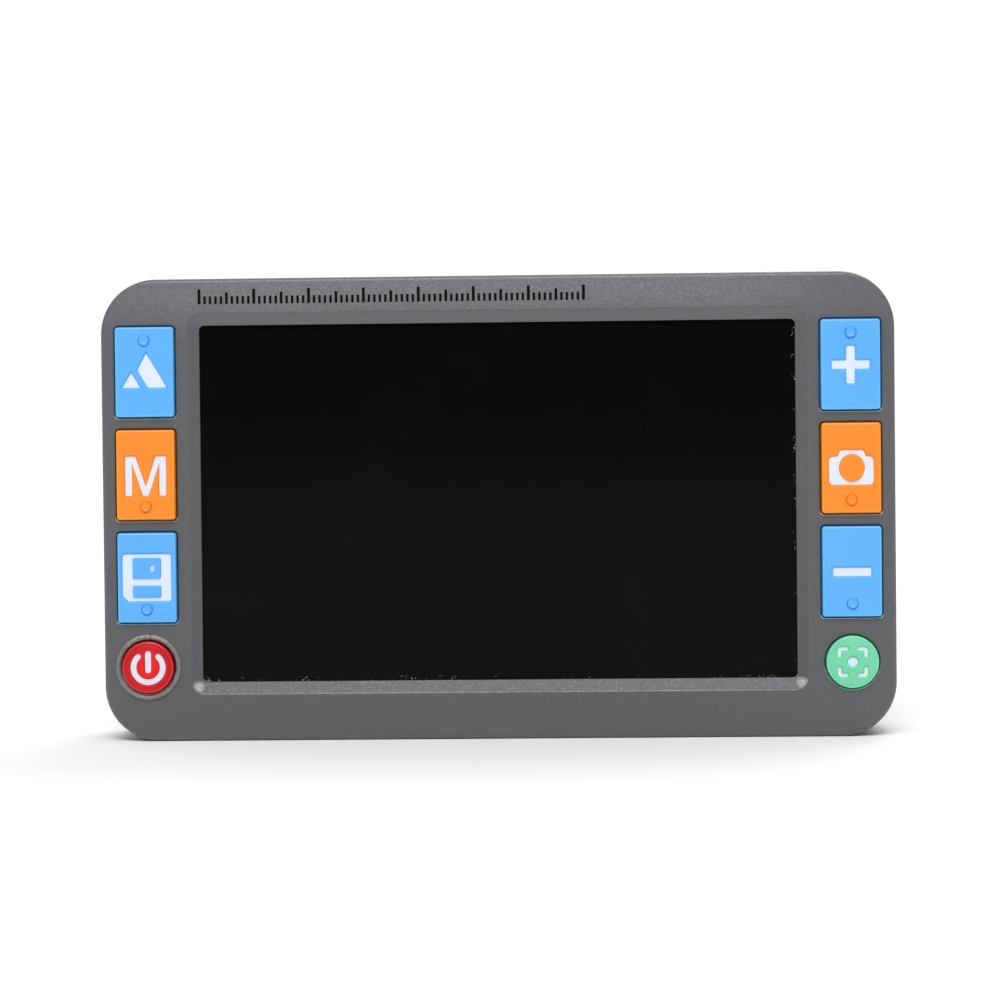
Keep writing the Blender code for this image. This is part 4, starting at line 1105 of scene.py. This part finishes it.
def feet(soft):
    """Round rubber feet, each with a fine ring in its end."""
    for i in range(1, 5):
        low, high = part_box(f"rear_foot_{i}")
        radius, top = (high.x - low.x) / 2, high.y
        profile = [(radius, low.y), *((radius - inset, y) for inset, y in rounding(top, 0.4 * MM))]
        profile += [(radius - inset * MM, top - deep * MM) for inset, deep in ((1.0, 0), (1.25, 0.15), (1.5, 0))]
        foot = moved(turned(profile), middle(low, high))
        smooth(make(f"foot_{i}", foot, soft, [f"rear_foot_{i}"]))


def screws(steel):
    """Screws with domed heads and cross recesses, each turned to its own angle."""
    shank_r, head_h, recess = 1 * MM, 1.4 * MM, ((1.0, OVERLAP), (1.0, 0), (0.45, -0.7 * MM))
    for i in range(1, 5):
        low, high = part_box(f"case_screw_{i}")
        place, head_r, top = middle(low, high), (high.x - low.x) / 2, high.y
        profile = [(0.4 * MM, low.y), (shank_r, low.y + 1 * MM), (shank_r, top - head_h), (head_r, top - head_h)]
        dome = ((1, 0.5), (0.93, 0.25), (0.78, 0.08), (0.55, 0))
        profile += [(head_r * part, top - drop * MM) for part, drop in dome]
        screw = make(f"screw_{i}", moved(turned(profile, 32), place), steel, [f"case_screw_{i}"])
        turn = Matrix.Rotation(math.radians(17 + 31 * i), 3, "Y")
        bars = []
        for wide, tall in ((1.2 * MM, 0.24 * MM), (0.24 * MM, 1.2 * MM)):
            bar = loft([at_depth(rectangle(-wide * part, wide * part, -tall * part, tall * part), y)
                        for part, y in recess])
            bmesh.ops.rotate(bar, verts=bar.verts, matrix=turn)
            bars.append(moved(bar, middle(low, high, top)))
        smooth(carve(screw, bars))


def camera(black, glass, frosted):
    """The ring round the camera, its flat window, and the domed lens of each light."""
    top, inner, outer, ease = BEZEL_HIGH.y, 5 * MM, (BEZEL_HIGH.x - BEZEL_LOW.x) / 2, 0.3 * MM
    profile = [(inner, BEZEL_LOW.y), (outer, BEZEL_LOW.y), (outer, top - ease)]
    profile += [(outer - 0.3 * ease, top - 0.3 * ease), (outer - ease, top)]
    profile += [(inner + 1.0 * MM, top), (inner + 0.8 * MM, top - 0.08 * MM), (inner, BACK_Y)]
    ring = moved(turned(profile, 64, closed=True), (0, 0, CAMERA_Z))
    smooth(make("camera_ring", ring, black, ["camera_bezel"]), 40)
    low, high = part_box("camera_window")
    radius, ease = (high.x - low.x) / 2, 0.12 * MM
    pane = moved(turned(((radius, low.y), (radius, high.y - ease), (radius - ease, high.y)), 64), (0, 0, CAMERA_Z))
    smooth(make("camera_glass", pane, glass, ["camera_window"]))
    stem_r, seat = 2.9 * MM, BACK_Y - 0.4 * MM
    for side in ("left", "right"):
        low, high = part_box(f"light_lens_{side}")
        radius, rise = (high.x - low.x) / 2, high.y - BACK_Y
        profile = [(stem_r, low.y), (stem_r, seat), (radius, seat), (radius, BACK_Y)]
        for i, angle in enumerate(math.pi / 2 * step / 24 for step in range(1, 24)):
            groove = 0.05 * MM if i % 6 == 4 else 0
            profile.append((radius * math.cos(angle), BACK_Y + rise * math.sin(angle) - groove))
        dome = moved(turned(profile), ((low.x + high.x) / 2, 0, CAMERA_Z))
        smooth(make(f"light_dome_{side}", dome, frosted, [f"light_lens_{side}"]))


def memory_card(black, gold):
    """The memory card: a notched outline, finger grooves, a sunk label field, and contacts at its inner end."""
    low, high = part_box("memory_card")
    notch, deepest, field, contact = 1.3 * MM, 0.14 * MM, 0.06 * MM, 0.07 * MM
    outline = [(low.x, low.z), (high.x, low.z), (high.x, high.z), (low.x + notch, high.z), (low.x, high.z - notch)]
    rings = [at_depth(rounded(grown(outline, -inset), 0.5 * MM), y)
             for inset, y in chamfered(low.y, high.y, 0.08 * MM)]
    card = make("card_body", loft(rings), black, ["memory_card"], "card")
    grooves = [rectangle(x, x + 0.4 * MM, low.z + 1.5 * MM, high.z - 1.5 * MM)
               for x in (high.x - (1 + 0.8 * i) * MM for i in range(3))]
    label = rounded(rectangle(low.x + 4.5 * MM, high.x - 3.6 * MM, low.z + 1 * MM, high.z - 1 * MM), 0.4 * MM)
    pads = [rectangle(low.x + 0.7 * MM, low.x + 3.3 * MM, z, z + 0.7 * MM)
            for z in (low.z + (0.9 + 1.12 * i) * MM for i in range(8))]
    cuts = [prism([groove], low.y - OVERLAP, low.y + deepest) for groove in grooves]
    cuts.append(prism([label], low.y - OVERLAP, low.y + field))
    cuts += [prism([pad], high.y - contact, high.y + OVERLAP) for pad in pads]
    smooth(carve(card, [merged(cuts)]))
    contacts = merged([prism([pad], high.y - 0.12 * MM, high.y - 0.03 * MM) for pad in pads])
    make("card_contacts", contacts, gold, body="card").data.shade_flat()


# ---------------------------------------------------------------- carried-over CAD nodes
def finish_nodes(finishes, own):
    """Gives every CAD node that still shows its own material or the one for its slot."""
    slots = {part["node"]: part["material_slot"] for part in frame["record"]["subparts"]}
    for name, obj in frame["nodes"].items():
        obj.data.materials.clear()
        obj.data.materials.append(own.get(name) or finishes[slots[name]])


# ---------------------------------------------------------------- stage
def stage():
    """A pale floor, a soft light overhead and to the front, and a bright room that the screen doesn't mirror."""
    made = Finish("floor_white", (0.88, 0.88, 0.88), 0.9, specular=0.1)
    made.paint(made.noise(3), (0.87, 0.87, 0.87), (0.89, 0.89, 0.89))
    mesh = bmesh.new()
    bmesh.ops.create_grid(mesh, x_segments=1, y_segments=1, size=6)
    data = bpy.data.meshes.new("floor")
    mesh.to_mesh(data)
    mesh.free()
    floor = bpy.data.objects.new("floor", data)
    bpy.context.scene.collection.objects.link(floor)
    data.materials.append(made.material)

    room()
    for name, power, direction in (("front", 1.75, (0.03, 0.60, -0.78)), ("behind", 0.75, (-0.25, -0.60, -0.78))):
        sun = bpy.data.lights.new(name, "SUN")
        sun.energy, sun.angle = power, math.radians(28)
        obj = bpy.data.objects.new(name, sun)
        obj.rotation_euler = Vector(direction).to_track_quat("-Z", "Y").to_euler()
        bpy.context.scene.collection.objects.link(obj)


def room():
    """A white room, brighter overhead, with a dark patch in front of the screen; the camera sees plain white."""
    world = bpy.data.worlds.new("studio")
    bpy.context.scene.world = world
    world.use_nodes = True
    tree = Nodes(world.node_tree)
    toward = tree.split(tree.coordinates("Generated"))
    level = tree.product(tree.remap(toward["Z"], 0, 1, 0.22, 0.95), tree.remap(toward["Y"], -0.99, -0.86, 0.3, 1))
    lit, shown = world.node_tree.nodes["Background"], tree.node("ShaderNodeBackground")
    for background in (lit, shown):
        background.inputs["Color"].default_value = (1, 1, 1, 1)
    tree.link(level, lit.inputs["Strength"])
    shown.inputs["Strength"].default_value = 1.05
    choose = tree.node("ShaderNodeMixShader")
    tree.link(tree.node("ShaderNodeLightPath").outputs["Is Camera Ray"], choose.inputs["Fac"])
    for i, source in enumerate((lit, shown), 1):
        tree.link(source.outputs[0], choose.inputs[i])
    tree.link(choose.outputs[0], world.node_tree.nodes["World Output"].inputs["Surface"])


def camera_view():
    """The camera at the photo's angle."""
    lens = bpy.data.cameras.new("view")
    lens.lens, lens.sensor_width = 90, 36
    lens.clip_start = 0.01
    view = bpy.data.objects.new("view", lens)
    place = Vector((13.52, -465.3, 51.49)) * MM
    yaw, pitch, roll = (math.radians(angle) for angle in (1.646, -1.002, 0.596))
    upright = Matrix.Rotation(math.pi / 2, 4, "X")
    turn = Matrix.Rotation(yaw, 4, "Z") @ Matrix.Rotation(pitch, 4, "X") @ Matrix.Rotation(roll, 4, "Y")
    view.matrix_world = Matrix.Translation(place) @ turn @ upright
    bpy.context.scene.collection.objects.link(view)
    bpy.context.scene.camera = view
    bpy.context.scene.view_settings.view_transform = "Standard"


def main():
    grey, soft, black = moulded_plastic("grey_grain"), rubber("soft_rubber"), gloss_black("gloss_black")
    steel = metal("bright_steel_finish", (0.62, 0.62, 0.63), 0.25)
    dark_steel = metal("dark_steel_finish", (0.20, 0.20, 0.21), 0.35, streaks=False)
    glass, frosted = clear_glass("window_glass"), frosted_lens("frosted")
    screen_black = screen_glass("screen_gloss")
    card_black = flat_finish("card_plastic", (0.012, 0.012, 0.014), 0.4)
    caps = {colour: (red_key_rubber if colour == "red" else key_rubber)(f"key_{colour}_finish", *tones)
            for colour, tones in KEY_TONES.items()}
    rims = {colour: key_edge(f"{colour}_rim", RED_RIM if colour == "red" else tones[0])
            for colour, tones in KEY_TONES.items()}
    finish_nodes({
        "grey_plastic": grey,
        "screen_black": screen_black,
        "lcd_black": gloss_black("panel_black"),
        "sheet_metal": metal("tray_metal", (0.56, 0.57, 0.58), 0.32),
        "light_guide": flat_finish("guide_white", (0.85, 0.87, 0.88), 0.3),
        **{f"key_{colour}": finish for colour, finish in caps.items()},
        "switch_black": flat_finish("switch_body", (0.02, 0.02, 0.022), 0.5),
        "plunger_white": flat_finish("plunger_body", (0.75, 0.75, 0.72), 0.5),
        "circuit_board": circuit_board("board_green"),
        "chip_black": flat_finish("chip_body", (0.015, 0.015, 0.016), 0.45),
        "battery_silver": metal("battery_foil", (0.52, 0.53, 0.54), 0.3, streaks=False),
        "flex_orange": flat_finish("flex_film", (0.55, 0.22, 0.05), 0.4),
        "black_plastic": black,
        "clear_glass": glass,
        "frosted_lens": frosted,
        "black_rubber": soft,
        "dark_steel": dark_steel,
        "bright_steel": steel,
        "card_black": card_black,
    }, {"camera_lens": coated_glass("lens_coating")})
    front_shell(face_plastic("face_grain"), edge_plastic("edge_grain"), band_plastic("band_grain"),
                lip_plastic("lip_grain"))
    power_ring(ring_plastic("ring_flecked", (0.150, 0.150, 0.148), (0.36, 0.34, 0.32)))
    rear_shell(grey)
    screen(screen_black)
    printed_scale(flat_finish("black_ink", (0.0030, 0.0030, 0.0034), 0.6, specular=0.06))
    white_ink = flat_finish("symbol_white", (0.716, 0.798, 0.930), 0.5)
    for name, (colour, _) in KEYS.items():
        key_cap(name, caps[colour], rims[colour], white_ink)
    stand(grey, soft, steel)
    feet(soft)
    screws(dark_steel)
    camera(black, glass, frosted)
    memory_card(card_black, metal("contact_gold", (0.78, 0.55, 0.22), 0.3, streaks=False))
    stage()
    camera_view()


main()
